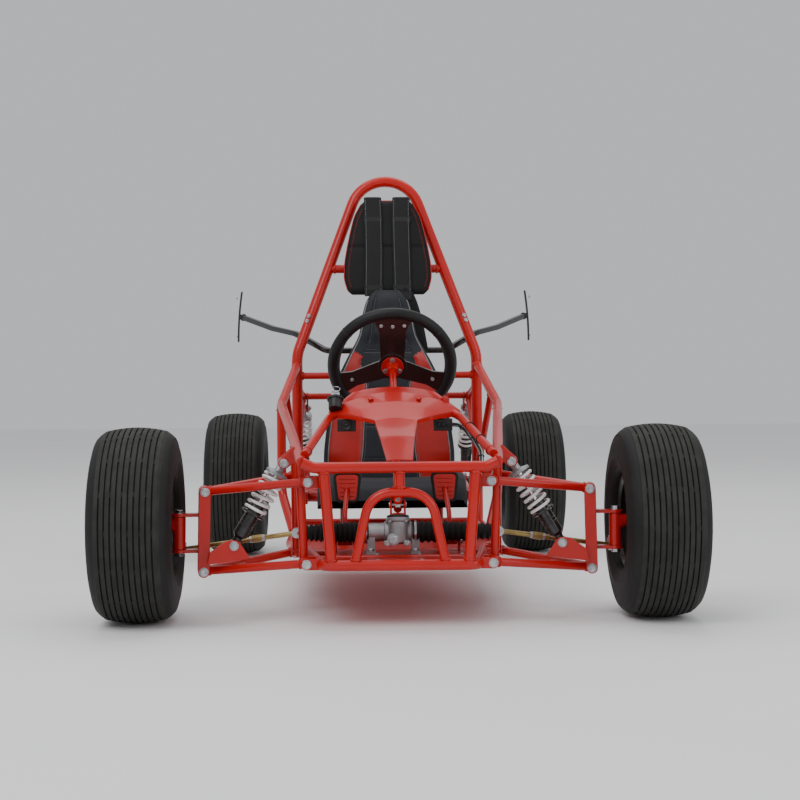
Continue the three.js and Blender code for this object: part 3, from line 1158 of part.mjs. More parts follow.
// A box that hangs on a lug under a dash tube.
function hangingBox(side) {
  const low = BOX_CENTRE.clone().addScaledVector(BOX_SIZE, -0.5);
  const high = BOX_CENTRE.clone().addScaledVector(BOX_SIZE, 0.5);
  const body = box(low, high);
  const lug = box(V(BOX_CENTRE.x - 12, high.y - 12, high.z - 4),
    V(BOX_CENTRE.x - 4, high.y + 8, high.z + 15));
  const whole = join(body, lug);
  return side > 0 ? whole : solid(geometryOf(whole, true));
}

// The loom leaves the relay box, runs under the left dash tube and goes down to the rack plate.
function wiringLoom() {
  const route = new THREE.CatmullRomCurve3([
    V(BOX_CENTRE.x + BOX_SIZE.x / 2 + 1, -508, 452), V(158, -508, 451), V(173, -560, 440),
      V(185, -640, 420),
    V(196, -735, 395), V(195, -772, 355), V(182, -778, 290), V(165, -774, 215),
      V(165, -774, RACK_PLATE_Z + 1),
  ]);
  return solid(new THREE.ExtrudeGeometry(roundSection(LOOM_DIA, 8), {
    steps: LOOM_STEPS, extrudePath: route, bevelEnabled: false,
  }));
}

place('brake_pedal', pedal(1), RED);
place('throttle_pedal', pedal(-1), RED);
place('key_switch', keySwitch(), BLACK);
place('ignition_key', key(), STEEL);
place('push_button', pushButton(), RED);

place('horn', hangingBox(-1), BLACK);
place('relay_box', hangingBox(1), BLACK);
place('wiring_loom', wiringLoom(), BLACK);

export default kart;
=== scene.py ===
import json
import math

import bmesh
import bpy
from bpy.props import FloatProperty, FloatVectorProperty, IntProperty, PointerProperty
from bpy.types import Operator, Panel, PropertyGroup
from mathutils import Matrix, Vector, noise


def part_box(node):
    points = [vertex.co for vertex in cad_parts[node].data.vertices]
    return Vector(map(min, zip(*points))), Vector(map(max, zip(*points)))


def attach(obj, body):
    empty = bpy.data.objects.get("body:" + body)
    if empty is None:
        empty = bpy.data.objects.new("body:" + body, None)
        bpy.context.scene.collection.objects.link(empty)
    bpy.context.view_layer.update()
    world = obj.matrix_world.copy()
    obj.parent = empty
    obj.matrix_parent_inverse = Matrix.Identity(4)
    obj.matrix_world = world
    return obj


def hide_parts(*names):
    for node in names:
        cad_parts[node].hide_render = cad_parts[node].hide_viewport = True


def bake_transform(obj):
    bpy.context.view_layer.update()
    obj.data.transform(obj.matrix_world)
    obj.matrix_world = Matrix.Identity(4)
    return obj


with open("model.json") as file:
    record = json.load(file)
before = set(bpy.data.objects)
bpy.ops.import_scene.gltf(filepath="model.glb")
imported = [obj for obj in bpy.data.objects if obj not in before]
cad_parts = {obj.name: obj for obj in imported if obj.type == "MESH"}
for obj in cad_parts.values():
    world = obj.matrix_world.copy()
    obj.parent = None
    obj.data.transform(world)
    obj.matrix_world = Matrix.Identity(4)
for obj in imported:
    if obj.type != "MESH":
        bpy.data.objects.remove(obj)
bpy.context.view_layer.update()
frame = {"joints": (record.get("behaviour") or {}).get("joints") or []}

bl_info = {
    "name": "Off-road kart chassis",
    "version": (1, 0, 0),
    "blender": (4, 5, 0),
    "location": "3D View > Sidebar > Kart",
    "description": "Builds the visible pieces of a kart chassis around its fixed frame",
    "category": "Object",
}

JOINTS = {joint["name"]: joint for joint in frame["joints"]}
SIDES = (("left", 1), ("right", -1))
ENDS = ("front", "rear")
X, Y, Z = Vector((1, 0, 0)), Vector((0, 1, 0)), Vector((0, 0, 1))


def joint_at(name):
    return Vector(JOINTS[name]["pos_m"])


def joint_axis(name):
    return Vector(JOINTS[name]["axis"]).normalized()


def mm(x, y, z):
    return Vector((x, y, z)) * 0.001


def mirrored(point, side):
    return Vector((point.x * side, point.y, point.z))


# ---- sizes and colours a user would change ------------------------------------------------------

def length(name, default, description):
    return FloatProperty(name=name, default=default, min=0.0001, description=description,
                         subtype="DISTANCE", unit="LENGTH")


def colour(name, default, description):
    return FloatVectorProperty(name=name, default=default, size=4, min=0, max=1, subtype="COLOR",
                               description=description)


class KartTubes(PropertyGroup):
    frame_tube: length("Frame tube", 0.0254, "Outside diameter of the main frame tubes")
    hoop_tube: length("Hoop tube", 0.032, "Outside diameter of the roll hoop")
    arm_tube: length("Arm tube", 0.020, "Outside diameter of the wishbone and stay tubes")
    arch_tube: length("Arch tube", 0.022, "Outside diameter of the arch in the bulkhead")
    plate: length("Plate", 0.005, "Thickness of brackets and upright plates")
    weld: length("Weld", 0.0048, "Width of a weld bead")
    bolt: length("Bolt head", 0.017, "Size across a bolt head's flats")


class KartWheels(PropertyGroup):
    ribs: IntProperty(name="Ribs", default=11, min=5, max=15, description="Ribs across a tyre's tread")
    groove: length("Groove", 0.0045, "Depth of the grooves between the ribs")
    facets: IntProperty(name="Segments", default=128, min=48, description="Segments round a tyre")


class KartColours(PropertyGroup):
    red: colour("Red paint", (0.50, 0.0042, 0.0008, 1), "Gloss paint of the frame")
    black: colour("Black paint", (0.004, 0.004, 0.0045, 1), "Gloss paint of rims and brackets")
    tread: colour("Tread", (0.024, 0.0245, 0.0205, 1), "Worn tops of the tyre's ribs")
    rubber: colour("Rubber", (0.005, 0.005, 0.0052, 1), "Tyre walls and bellows")
    fabric: colour("Seat cloth", (0.008, 0.0095, 0.0135, 1), "Middle of the seat")
    vinyl: colour("Seat wings", (0.42, 0.0055, 0.002, 1), "Red sides of the seat")
    white: colour("Spring paint", (0.80, 0.79, 0.78, 1), "Powder coat of the springs")
    zinc: colour("Zinc", (0.52, 0.53, 0.55, 1), "Bolt heads and bare steel")
    gold: colour("Yellow zinc", (0.42, 0.31, 0.12, 1), "Tie rods and their nuts")


def tubes():
    return bpy.context.scene.kart_tubes


def paints():
    return bpy.context.scene.kart_colours


# ---- shapes -------------------------------------------------------------------------------------

def circle(dia, sides=20):
    return [(dia / 2 * math.cos(2 * math.pi * i / sides), dia / 2 * math.sin(2 * math.pi * i / sides))
            for i in range(sides)]


def filleted(points, bend, step=math.radians(9)):
    """The line through points with each inner corner turned into an arc."""
    out = [points[0].copy()]
    for i in range(1, len(points) - 1):
        radius = bend[i - 1] if isinstance(bend, (list, tuple)) else bend
        back = (points[i - 1] - points[i]).normalized()
        on = (points[i + 1] - points[i]).normalized()
        turn = math.pi - back.angle(on)
        if turn < 0.01:
            out.append(points[i].copy())
            continue
        centre = points[i] + (back + on).normalized() * radius / math.cos(turn / 2)
        start = points[i] + back * radius * math.tan(turn / 2) - centre
        axis = back.cross(start).normalized()
        steps = max(2, math.ceil(turn / step))
        for k in range(steps + 1):
            out.append(Matrix.Rotation(turn * k / steps, 3, axis) @ start + centre)
    out.append(points[-1].copy())
    return out


class Shape:
    """The points and faces of one piece while it is made. Each face has a material's number."""

    def __init__(self):
        self.points = []
        self.faces = []
        self.paints = []

    def add(self, points, faces, paint=0):
        base = len(self.points)
        self.points += [Vector(p) for p in points]
        self.faces += [[base + i for i in face] for face in faces]
        self.paints += [paint] * len(faces)

    def sweep(self, path, section, paint=0, closed=False, grow=None, side=None):
        """A section carried along a path. grow(i) scales it at station i."""
        count, sides = len(path), len(section)
        tangents = []
        for i in range(count):
            before = path[i - 1] if closed or i else path[0]
            after = path[(i + 1) % count] if closed or i < count - 1 else path[-1]
            tangents.append((after - before).normalized())
        side = side.copy() if side else tangents[0].orthogonal()
        points = []
        for i, tangent in enumerate(tangents):
            side = (side - tangent * side.dot(tangent)).normalized()
            up = tangent.cross(side)
            scale = grow(i) if grow else 1
            points += [path[i] + (side * u + up * v) * scale for u, v in section]
        faces = []
        for i in range(count if closed else count - 1):
            j = (i + 1) % count
            for a in range(sides):
                b = (a + 1) % sides
                faces.append((i * sides + a, i * sides + b, j * sides + b, j * sides + a))
        if not closed:
            faces.append(tuple(reversed(range(sides))))
            faces.append(tuple(range((count - 1) * sides, count * sides)))
        self.add(points, faces, paint)

    def tube(self, points, bend, dia, paint=0, sides=20, closed=False):
        self.sweep(filleted(points, bend), circle(dia, sides), paint, closed)

    def rod(self, a, b, dia, paint=0, sides=20):
        self.sweep([a, b], circle(dia, sides), paint)

    def welded(self, a, b, dia, root=0.012, ends=(True, True)):
        """A tube between two others, with a weld bead where it leaves each of them."""
        self.rod(a, b, dia)
        along = (b - a).normalized()
        if ends[0]:
            self.bead(a + along * root, along, dia)
        if ends[1]:
            self.bead(b - along * root, along, dia)

    def bead(self, at, axis, dia):
        u = axis.orthogonal().normalized()
        v = axis.cross(u).normalized()
        count = 40
        ring = [at + (u * math.cos(k * 2 * math.pi / count) + v * math.sin(k * 2 * math.pi / count)) * dia / 2
                for k in range(count)]
        self.sweep(ring, circle(tubes().weld, 6), 0, True, lambda i: 1 + 0.14 * (-1) ** i)

    def lathe(self, profile, centre, axis, sides=48, paints=0):
        """A profile of (radius, distance along the axis) turned round it, closed on itself or the axis."""
        w = axis.normalized()
        u = w.orthogonal().normalized()
        v = w.cross(u)
        points, rings = [], []
        for radius, along in profile:
            start = len(points)
            if radius < 1e-6:
                points.append(centre + w * along)
                rings.append([start])
                continue
            for k in range(sides):
                angle = 2 * math.pi * k / sides
                points.append(centre + w * along + (u * math.cos(angle) + v * math.sin(angle)) * radius)
            rings.append(list(range(start, start + sides)))
        pairs = list(zip(rings, rings[1:]))
        if len(rings[0]) > 1 and len(rings[-1]) > 1:
            pairs.append((rings[-1], rings[0]))
        for index, (low, high) in enumerate(pairs):
            faces = []
            for k in range(sides):
                m = (k + 1) % sides
                if len(low) == 1:
                    faces.append((low[0], high[k], high[m]))
                elif len(high) == 1:
                    faces.append((low[k], low[m], high[0]))
                else:
                    faces.append((low[k], low[m], high[m], high[k]))
            self.add_faces(faces, len(self.points), paints[index] if isinstance(paints, list) else paints)
        self.points += points

    def add_faces(self, faces, base, paint):
        self.faces += [[base + i for i in face] for face in faces]
        self.paints += [paint] * len(faces)

    def plate(self, outline, origin, u, v, thick, paint=0):
        """A flat plate: an outline in the plane of u and v, with its middle at origin."""
        n = u.cross(v).normalized() * thick / 2
        count = len(outline)
        points = [origin + u * a + v * b + n for a, b in outline]
        points += [origin + u * a + v * b - n for a, b in outline]
        faces = [tuple(range(count)), tuple(reversed(range(count, 2 * count)))]
        faces += [(i, i + count, (i + 1) % count + count, (i + 1) % count) for i in range(count)]
        self.add(points, faces, paint)

    def block(self, low, high, paint=0):
        centre = (low + high) / 2
        half = (high - low) / 2
        outline = [(half.x, half.y), (-half.x, half.y), (-half.x, -half.y), (half.x, -half.y)]
        self.plate(outline, centre, X, Y, abs(half.z) * 2, paint)

    def bolt(self, at, axis, paint=1, size=None, height=0.0062):
        """A hex head with a chamfered top and a washer face, standing on at and pointing along axis."""
        radius = (size or tubes().bolt) / 2 / math.cos(math.pi / 6)
        self.lathe([(0, -0.0006), (radius * 1.12, -0.0006), (radius * 1.12, 0.0009), (0, 0.0009)],
                   at, axis, 24, paint)
        self.lathe([(0, 0.0006), (radius, 0.0006), (radius, height * 0.82), (radius * 0.88, height),
                    (radius * 0.5, height), (radius * 0.46, height * 0.86), (0, height * 0.86)],
                   at, axis, 6, paint)

    def through_bolt(self, at, axis, half, paint=1):
        """A bolt's head at one end of a joint, and a nut and thread at the other."""
        self.bolt(at - axis * half, -axis, paint)
        self.bolt(at + axis * half, axis, paint)
        self.rod(at + axis * half, at + axis * (half + 0.0095), 0.0085, paint, 12)

    def bake(self, name, body, materials, replaces=(), bevel=0.0, sharp=35):
        mesh = bpy.data.meshes.new(name)
        mesh.from_pydata([tuple(p) for p in self.points], [], self.faces)
        for polygon, paint in zip(mesh.polygons, self.paints):
            polygon.material_index = paint
        work = bmesh.new()
        work.from_mesh(mesh)
        bmesh.ops.remove_doubles(work, verts=work.verts, dist=1e-6)
        bmesh.ops.recalc_face_normals(work, faces=work.faces)
        work.to_mesh(mesh)
        work.free()
        for material in materials:
            mesh.materials.append(material)
        mesh.shade_smooth()
        mesh.set_sharp_from_angle(angle=math.radians(sharp))
        piece = bpy.data.objects.new(name, mesh)
        bpy.context.scene.collection.objects.link(piece)
        if bevel:
            edge = piece.modifiers.new("edge", "BEVEL")
            edge.width = bevel
            edge.segments = 2
            edge.limit_method = "ANGLE"
            edge.angle_limit = math.radians(50)
        if body:
            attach(piece, body)
        if replaces:
            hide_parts(*replaces)
        return piece


# ---- shared effects, as node groups -------------------------------------------------------------

def node(tree, kind, **values):
    """A node whose plain values are set by name; inputs are set or joined afterwards."""
    made = tree.nodes.new(kind)
    for key, value in values.items():
        setattr(made, key, value)
    return made


def effect(name, inputs, outputs):
    """An empty node group with the named number sockets. Returns its tree and its two end nodes."""
    tree = bpy.data.node_groups.new(name, "ShaderNodeTree")
    for label, default in inputs:
        socket = tree.interface.new_socket(name=label, in_out="INPUT", socket_type="NodeSocketFloat")
        socket.default_value = default
    for label in outputs:
        tree.interface.new_socket(name=label, in_out="OUTPUT", socket_type="NodeSocketFloat")
    return tree, node(tree, "NodeGroupInput"), node(tree, "NodeGroupOutput")


def maths(tree, operation, a, b):
    made = node(tree, "ShaderNodeMath", operation=operation)
    for socket, value in zip(made.inputs, (a, b)):
        if isinstance(value, (int, float)):
            socket.default_value = value
        else:
            tree.links.new(value, socket)
    return made.outputs[0]


def surface_noise(tree, scale, detail=4.0, rough=0.55):
    place = node(tree, "ShaderNodeTexCoord")
    made = node(tree, "ShaderNodeTexNoise")
    made.inputs["Detail"].default_value = detail
    made.inputs["Roughness"].default_value = rough
    tree.links.new(place.outputs["Object"], made.inputs["Vector"])
    if isinstance(scale, (int, float)):
        made.inputs["Scale"].default_value = scale
    else:
        tree.links.new(scale, made.inputs["Scale"])
    return made.outputs["Fac"]


def dust_effect():
    """Dust that lies on faces turned upward, in soft patches."""
    tree, start, end = effect("Settled dust", [("Amount", 0.3), ("Scale", 9.0)], ["Mask"])
    normal = node(tree, "ShaderNodeNewGeometry")
    split = node(tree, "ShaderNodeSeparateXYZ")
    tree.links.new(normal.outputs["Normal"], split.inputs[0])
    upward = maths(tree, "MAXIMUM", split.outputs["Z"], 0.0)
    patches = surface_noise(tree, start.outputs["Scale"], 6.0)
    soft = maths(tree, "MULTIPLY", patches, maths(tree, "ADD", upward, 0.25))
    tree.links.new(maths(tree, "MULTIPLY", soft, start.outputs["Amount"]), end.inputs["Mask"])
    return tree


def mottle_effect():
    """Slow variation over a surface, and a fine ripple for a bump."""
    tree, start, end = effect("Mottle", [("Scale", 6.0), ("Fine scale", 300.0)], ["Mask", "Height"])
    tree.links.new(surface_noise(tree, start.outputs["Scale"], 3.0), end.inputs["Mask"])
    tree.links.new(surface_noise(tree, start.outputs["Fine scale"], 2.0), end.inputs["Height"])
    return tree


def weave_effect():
    """Threads that cross at right angles in all three planes of the object."""
    tree, start, end = effect("Weave", [("Scale", 400.0)], ["Height", "Mask"])
    place = node(tree, "ShaderNodeTexCoord")
    split = node(tree, "ShaderNodeSeparateXYZ")
    tree.links.new(place.outputs["Object"], split.inputs[0])
    waves = []
    for axis in ("X", "Z"):
        turn = maths(tree, "MULTIPLY", split.outputs[axis], start.outputs["Scale"])
        waves.append(maths(tree, "SINE", maths(tree, "MULTIPLY", turn, 2 * math.pi), 0.0))
    across = maths(tree, "MULTIPLY", split.outputs["Y"], start.outputs["Scale"])
    third = maths(tree, "SINE", maths(tree, "MULTIPLY", across, 2 * math.pi), 0.0)
    crossing = maths(tree, "MULTIPLY", waves[0], maths(tree, "ADD", waves[1], third))
    height = maths(tree, "ADD", maths(tree, "MULTIPLY", crossing, 0.35), 0.5)
    tree.links.new(height, end.inputs["Height"])
    tree.links.new(surface_noise(tree, 24.0, 5.0), end.inputs["Mask"])
    return tree


def grain_effect():
    """Leather or moulded grain: small cells with fine creases between them."""
    tree, start, end = effect("Grain", [("Scale", 700.0)], ["Height", "Mask"])
    place = node(tree, "ShaderNodeTexCoord")
    cells = node(tree, "ShaderNodeTexVoronoi", feature="DISTANCE_TO_EDGE")
    tree.links.new(place.outputs["Object"], cells.inputs["Vector"])
    tree.links.new(start.outputs["Scale"], cells.inputs["Scale"])
    crease = maths(tree, "MINIMUM", maths(tree, "MULTIPLY", cells.outputs["Distance"], 4.0), 1.0)
    tree.links.new(crease, end.inputs["Height"])
    tree.links.new(surface_noise(tree, 14.0, 5.0), end.inputs["Mask"])
    return tree


EFFECTS = {}


def build_effects():
    EFFECTS["dust"] = dust_effect()
    EFFECTS["mottle"] = mottle_effect()
    EFFECTS["weave"] = weave_effect()
    EFFECTS["grain"] = grain_effect()


def finish_of(name, base, second, rough, relief, effect_name="mottle", dust=0.0, metallic=0.0, coat=0.0,
              sheen=0.0, depth=0.0002, specular=0.5, **scales):
    """A material: two colours mixed by an effect's mask, a roughness range, a fine relief and dust."""
    material = bpy.data.materials.new(name)
    material.use_nodes = True
    tree = material.node_tree
    shader = tree.nodes["Principled BSDF"]
    group = node(tree, "ShaderNodeGroup")
    group.node_tree = EFFECTS[effect_name]
    for label, value in scales.items():
        group.inputs[label.replace("_", " ").capitalize()].default_value = value
    mix = node(tree, "ShaderNodeMix", data_type="RGBA")
    mix.inputs[6].default_value = base
    mix.inputs[7].default_value = second
    contrast = node(tree, "ShaderNodeMapRange")
    contrast.inputs["From Min"].default_value = 0.35
    contrast.inputs["From Max"].default_value = 0.65
    tree.links.new(group.outputs["Mask"], contrast.inputs["Value"])
    tree.links.new(contrast.outputs["Result"], mix.inputs[0])
    colour_out = mix.outputs[2]
    if dust:
        settled = node(tree, "ShaderNodeGroup")
        settled.node_tree = EFFECTS["dust"]
        settled.inputs["Amount"].default_value = dust
        grey = node(tree, "ShaderNodeMix", data_type="RGBA")
        grey.inputs[7].default_value = (0.33, 0.31, 0.27, 1)
        tree.links.new(settled.outputs["Mask"], grey.inputs[0])
        tree.links.new(colour_out, grey.inputs[6])
        colour_out = grey.outputs[2]
    tree.links.new(colour_out, shader.inputs["Base Color"])
    ramp = node(tree, "ShaderNodeMapRange")
    ramp.inputs["To Min"].default_value, ramp.inputs["To Max"].default_value = rough
    tree.links.new(group.outputs["Mask"], ramp.inputs["Value"])
    tree.links.new(ramp.outputs["Result"], shader.inputs["Roughness"])
    bump = node(tree, "ShaderNodeBump")
    bump.inputs["Strength"].default_value = relief
    bump.inputs["Distance"].default_value = depth
    tree.links.new(group.outputs["Height"], bump.inputs["Height"])
    tree.links.new(bump.outputs["Normal"], shader.inputs["Normal"])
    shader.inputs["Metallic"].default_value = metallic
    shader.inputs["Coat Weight"].default_value = coat
    shader.inputs["Coat Roughness"].default_value = 0.06
    shader.inputs["Sheen Weight"].default_value = sheen
    shader.inputs["Specular IOR Level"].default_value = specular
    return material


def tinted(value, factor):
    return (*(min(1, c * factor) for c in value[:3]), 1)


MATERIALS = {}


def build_materials():
    """Every finish of the kart, by a plain name."""
    build_effects()
    p = paints()
    red, black, zinc = tuple(p.red), tuple(p.black), tuple(p.zinc)
    rubber, tread, fabric = tuple(p.rubber), tuple(p.tread), tuple(p.fabric)
    made = {
        "red": finish_of("Gloss red paint", red, tinted(red, 0.86), (0.28, 0.38), 0.05, coat=0.25,
                         specular=0.35,
                         scale=5, fine_scale=260),
        "black": finish_of("Gloss black paint", black, tinted(black, 1.8), (0.22, 0.36), 0.06, coat=0.3,
                           dust=0.10,
                           scale=8, fine_scale=300),
        "zinc": finish_of("Bright zinc", zinc, tinted(zinc, 0.75), (0.22, 0.42), 0.10, metallic=1.0,
                          scale=60, fine_scale=900),
        "gold": finish_of("Yellow zinc", tuple(p.gold), tinted(p.gold, 0.7), (0.28, 0.46), 0.10,
                          metallic=0.9,
                          scale=40, fine_scale=800),
        "cast": finish_of("Cast aluminium", (0.40, 0.41, 0.42, 1), (0.30, 0.31, 0.32, 1), (0.42, 0.60),
                          0.35,
                          metallic=0.85, scale=30, fine_scale=650, depth=0.0005),
        "chrome": finish_of("Polished rod", (0.72, 0.73, 0.75, 1), (0.66, 0.67, 0.70, 1), (0.08, 0.16),
                            0.02,
                            metallic=1.0, scale=30, fine_scale=900),
        "white": finish_of("White powder coat", tuple(p.white), tinted(p.white, 0.9), (0.26, 0.36), 0.10,
                           coat=0.2,
                           scale=12, fine_scale=700),
        "rubber": finish_of("Black rubber", rubber, tinted(rubber, 2.0), (0.55, 0.75), 0.25, dust=0.03,
                            specular=0.3,
                            scale=18, fine_scale=500, depth=0.0004),
        "tread": finish_of("Worn tread", tread, tinted(tread, 0.62), (0.62, 0.80), 0.45, dust=0.03,
                           specular=0.3,
                           scale=26, fine_scale=420, depth=0.0006),
        "leather": finish_of("Black leather", (0.004, 0.004, 0.0045, 1), (0.007, 0.007, 0.008, 1),
                             (0.40, 0.54), 0.30,
                             effect_name="grain", scale=600, depth=0.0003, specular=0.35),
        "cloth": finish_of("Dark seat cloth", fabric, tinted(fabric, 1.35), (0.58, 0.72), 0.35,
                           effect_name="weave", scale=520, depth=0.0003, sheen=0.06, specular=0.35),
        "vinyl": finish_of("Red seat vinyl", tuple(p.vinyl), tinted(p.vinyl, 0.8), (0.34, 0.48), 0.28,
                           effect_name="grain", scale=520, depth=0.0003),
        "pad": finish_of("Black pad cloth", (0.0032, 0.0034, 0.0038, 1), (0.005, 0.0052, 0.0057, 1),
                         (0.60, 0.76), 0.4,
                         effect_name="weave", scale=420, depth=0.0004, specular=0.3),
        "webbing": finish_of("Black webbing", (0.0032, 0.0032, 0.0035, 1), (0.006, 0.006, 0.0065, 1),
                             (0.5, 0.66), 0.6,
                             effect_name="weave", scale=260, depth=0.0006, specular=0.3),
        "piping": finish_of("Grey piping", (0.20, 0.205, 0.22, 1), (0.15, 0.155, 0.17, 1), (0.45, 0.6), 0.2,
                            scale=60, fine_scale=900),
        "plastic": finish_of("Black moulded plastic", (0.005, 0.005, 0.0055, 1), (0.008, 0.008, 0.0085, 1),
                             (0.38, 0.50), 0.3, effect_name="grain", scale=1400, depth=0.00015),
        "wire grey": finish_of("Grey wire", (0.30, 0.32, 0.34, 1), (0.22, 0.24, 0.26, 1), (0.35, 0.5), 0.1,
                               scale=80),
        "wire pale": finish_of("Pale green wire", (0.50, 0.66, 0.55, 1), (0.60, 0.68, 0.62, 1),
                               (0.35, 0.5), 0.1,
                               scale=90),
        "light grey": finish_of("Light grey plate", (0.34, 0.35, 0.37, 1), (0.28, 0.29, 0.31, 1),
                                (0.3, 0.42), 0.1,
                                scale=30, metallic=0.3),
        "floor": finish_of("Pale floor", (0.90, 0.90, 0.90, 1), (0.87, 0.87, 0.87, 1), (0.6, 0.75), 0.05,
                           scale=1.2),
    }
    MATERIALS.update(made)


def use(*names):
    return [MATERIALS[name] for name in names]


# ---- frame --------------------------------------------------------------------------------------

BAR_LOW, BAR_HIGH = 145, 367          # heights of the bulkhead's two bars, in millimetres
NOSE_Y = -870
RAIL_FRONT_Y = -828                    # where the lower rails meet the bulkhead
RAIL_HALF = 266                        # half the width between the lower rails and the hoop's feet
RACK_Y = -690
SHOULDER = mm(222, NOSE_Y, 379)
SIDE_KNEE = mm(303, -20, 497)
HOOP_KNEE = mm(RAIL_HALF, 243, 640)
HOOP_APEX = mm(0, 377, 1363)
HOOP_FOOT = mm(RAIL_HALF, 225, 132)
PIVOT_SPREAD = 0.260
BOSS_LENGTH = 0.040
YAW = math.tan(math.radians(7.4))


def rail_x(y):
    return 176 + (y - NOSE_Y) * YAW


def hoop_at(z):
    """The middle of the left hoop leg at a height in millimetres, above its knee."""
    t = (z - 640) / (1363 - 640)
    return HOOP_KNEE.lerp(HOOP_APEX, t)


def rail_at(y):
    t = (y - NOSE_Y) / (-20 - NOSE_Y)
    return SHOULDER.lerp(SIDE_KNEE, t)


def corner_frame(name, side):
    """Pivots of a front corner: lower and upper inner pivots and the direction of their bolts."""
    low = joint_at(f"lower_arm_pivot_{name}")
    high = joint_at(f"upper_arm_pivot_{name}")
    back = joint_axis(f"lower_arm_pivot_{name}") * -side
    out = back.cross(Z) * side
    return low, high, back, out


def bulkhead():
    s = Shape()
    t = tubes()
    half = [mm(rail_x(RAIL_FRONT_Y), RAIL_FRONT_Y, BAR_LOW), mm(176, NOSE_Y, BAR_LOW)]
    s.tube([mirrored(p, -1) for p in half] + half[::-1], 0.030, t.frame_tube)
    top = [SHOULDER, mm(196, NOSE_Y, BAR_HIGH)]
    s.tube([mirrored(p, -1) for p in top] + top[::-1], 0.030, t.frame_tube)
    for side in (1, -1):
        s.welded(mm(156 * side, NOSE_Y, BAR_LOW), mm(173 * side, NOSE_Y, BAR_HIGH), t.frame_tube)
    s.tube([mm(-104, NOSE_Y, BAR_LOW), mm(-68, NOSE_Y, 310), mm(68, NOSE_Y, 310), mm(104, NOSE_Y, BAR_LOW)],
           0.062, t.arch_tube)
    for side in (1, -1):
        s.bead(mm(101 * side, NOSE_Y, 158), Z, t.arch_tube)
    s.welded(mm(0, NOSE_Y, 310), mm(0, NOSE_Y, BAR_HIGH), t.arch_tube)
    s.bake("bulkhead_frame", "chassis", use("red"), ["bulkhead"])


def pivot_bracket(s, pivot, back, out, head):
    """Two ears with a web between them, and the bolt through both."""
    t = tubes()
    half = BOSS_LENGTH / 2 + 0.0003
    tip = [(0.0128 * math.cos(a), 0.0128 * math.sin(a))
           for a in [math.radians(d) for d in range(-90, 91, 15)]]
    outline = [(-0.030, -0.0128)] + tip + [(-0.030, 0.0128)]
    for end in (1, -1):
        s.plate(outline, pivot + back * end * (half + t.plate / 2), out, Z, t.plate)
    web = [(-0.030, -0.011), (-0.025, -0.011), (-0.025, 0.011), (-0.030, 0.011)]
    s.plate(web, pivot, out, Z, 2 * half)
    s.through_bolt(pivot, back * head, half + t.plate)


def shock_ears(s, eye, root, bolt_axis):
    """Two ears from a tube to a shock absorber's eye, with the bolt."""
    t = tubes()
    along = (eye - root).normalized()
    across = along.cross(bolt_axis).normalized()
    reach = (eye - root).length
    tip = [(reach + 0.0135 * math.cos(a), 0.0135 * math.sin(a))
           for a in [math.radians(d) for d in range(-90, 91, 15)]]
    outline = [(0, -0.0145)] + tip + [(0, 0.0145)]
    for end in (1, -1):
        s.plate(outline, root + bolt_axis * end * (0.0123 + t.plate / 2), along, across, t.plate)
    s.through_bolt(eye, bolt_axis, 0.0123 + t.plate)


def side_frame(name, side):
    s = Shape()
    t = tubes()

    def at(x, y, z):
        return mirrored(mm(x, y, z), side)

    s.tube([mirrored(SHOULDER, side), mirrored(SIDE_KNEE, side), at(RAIL_HALF, 237, 610)], 0.090, t.frame_tube)
    s.bead(at(268, 222, 602), (at(RAIL_HALF, 237, 610) - mirrored(SIDE_KNEE, side)).normalized(), t.frame_tube)
    s.tube([mirrored(SIDE_KNEE, side), at(303, -20, 250), at(268, -132, 152)], 0.060, t.frame_tube)
    s.bead(at(303, -20, 481), Z, t.frame_tube)
    s.welded(at(293, 50, 528), at(267, 218, 308), t.arm_tube)
    low, high, back, out = corner_frame(name, side)
    for reach in (0.035, PIVOT_SPREAD - 0.035):
        foot = low + back * reach
        s.welded(Vector((foot.x, foot.y, 0.140)), mirrored(rail_at(foot.y * 1000), side), t.arm_tube)
        s.rod(at(rail_x(foot.y * 1000), foot.y * 1000, BAR_LOW), Vector((foot.x, foot.y, 0.145)), 0.018)
    for pivot in (low, high):
        pivot_bracket(s, pivot, back, out, 1)
        pivot_bracket(s, pivot + back * PIVOT_SPREAD, back, out, -1)
    eye = joint_at(f"shock_pivot_front_{name}")
    shock_ears(s, eye, mirrored(rail_at(eye.y * 1000), side), back)
    s.bake(f"side_frame_tubes_{name}", "chassis", use("red", "zinc"), [f"side_frame_{name}"],
           0.0007)


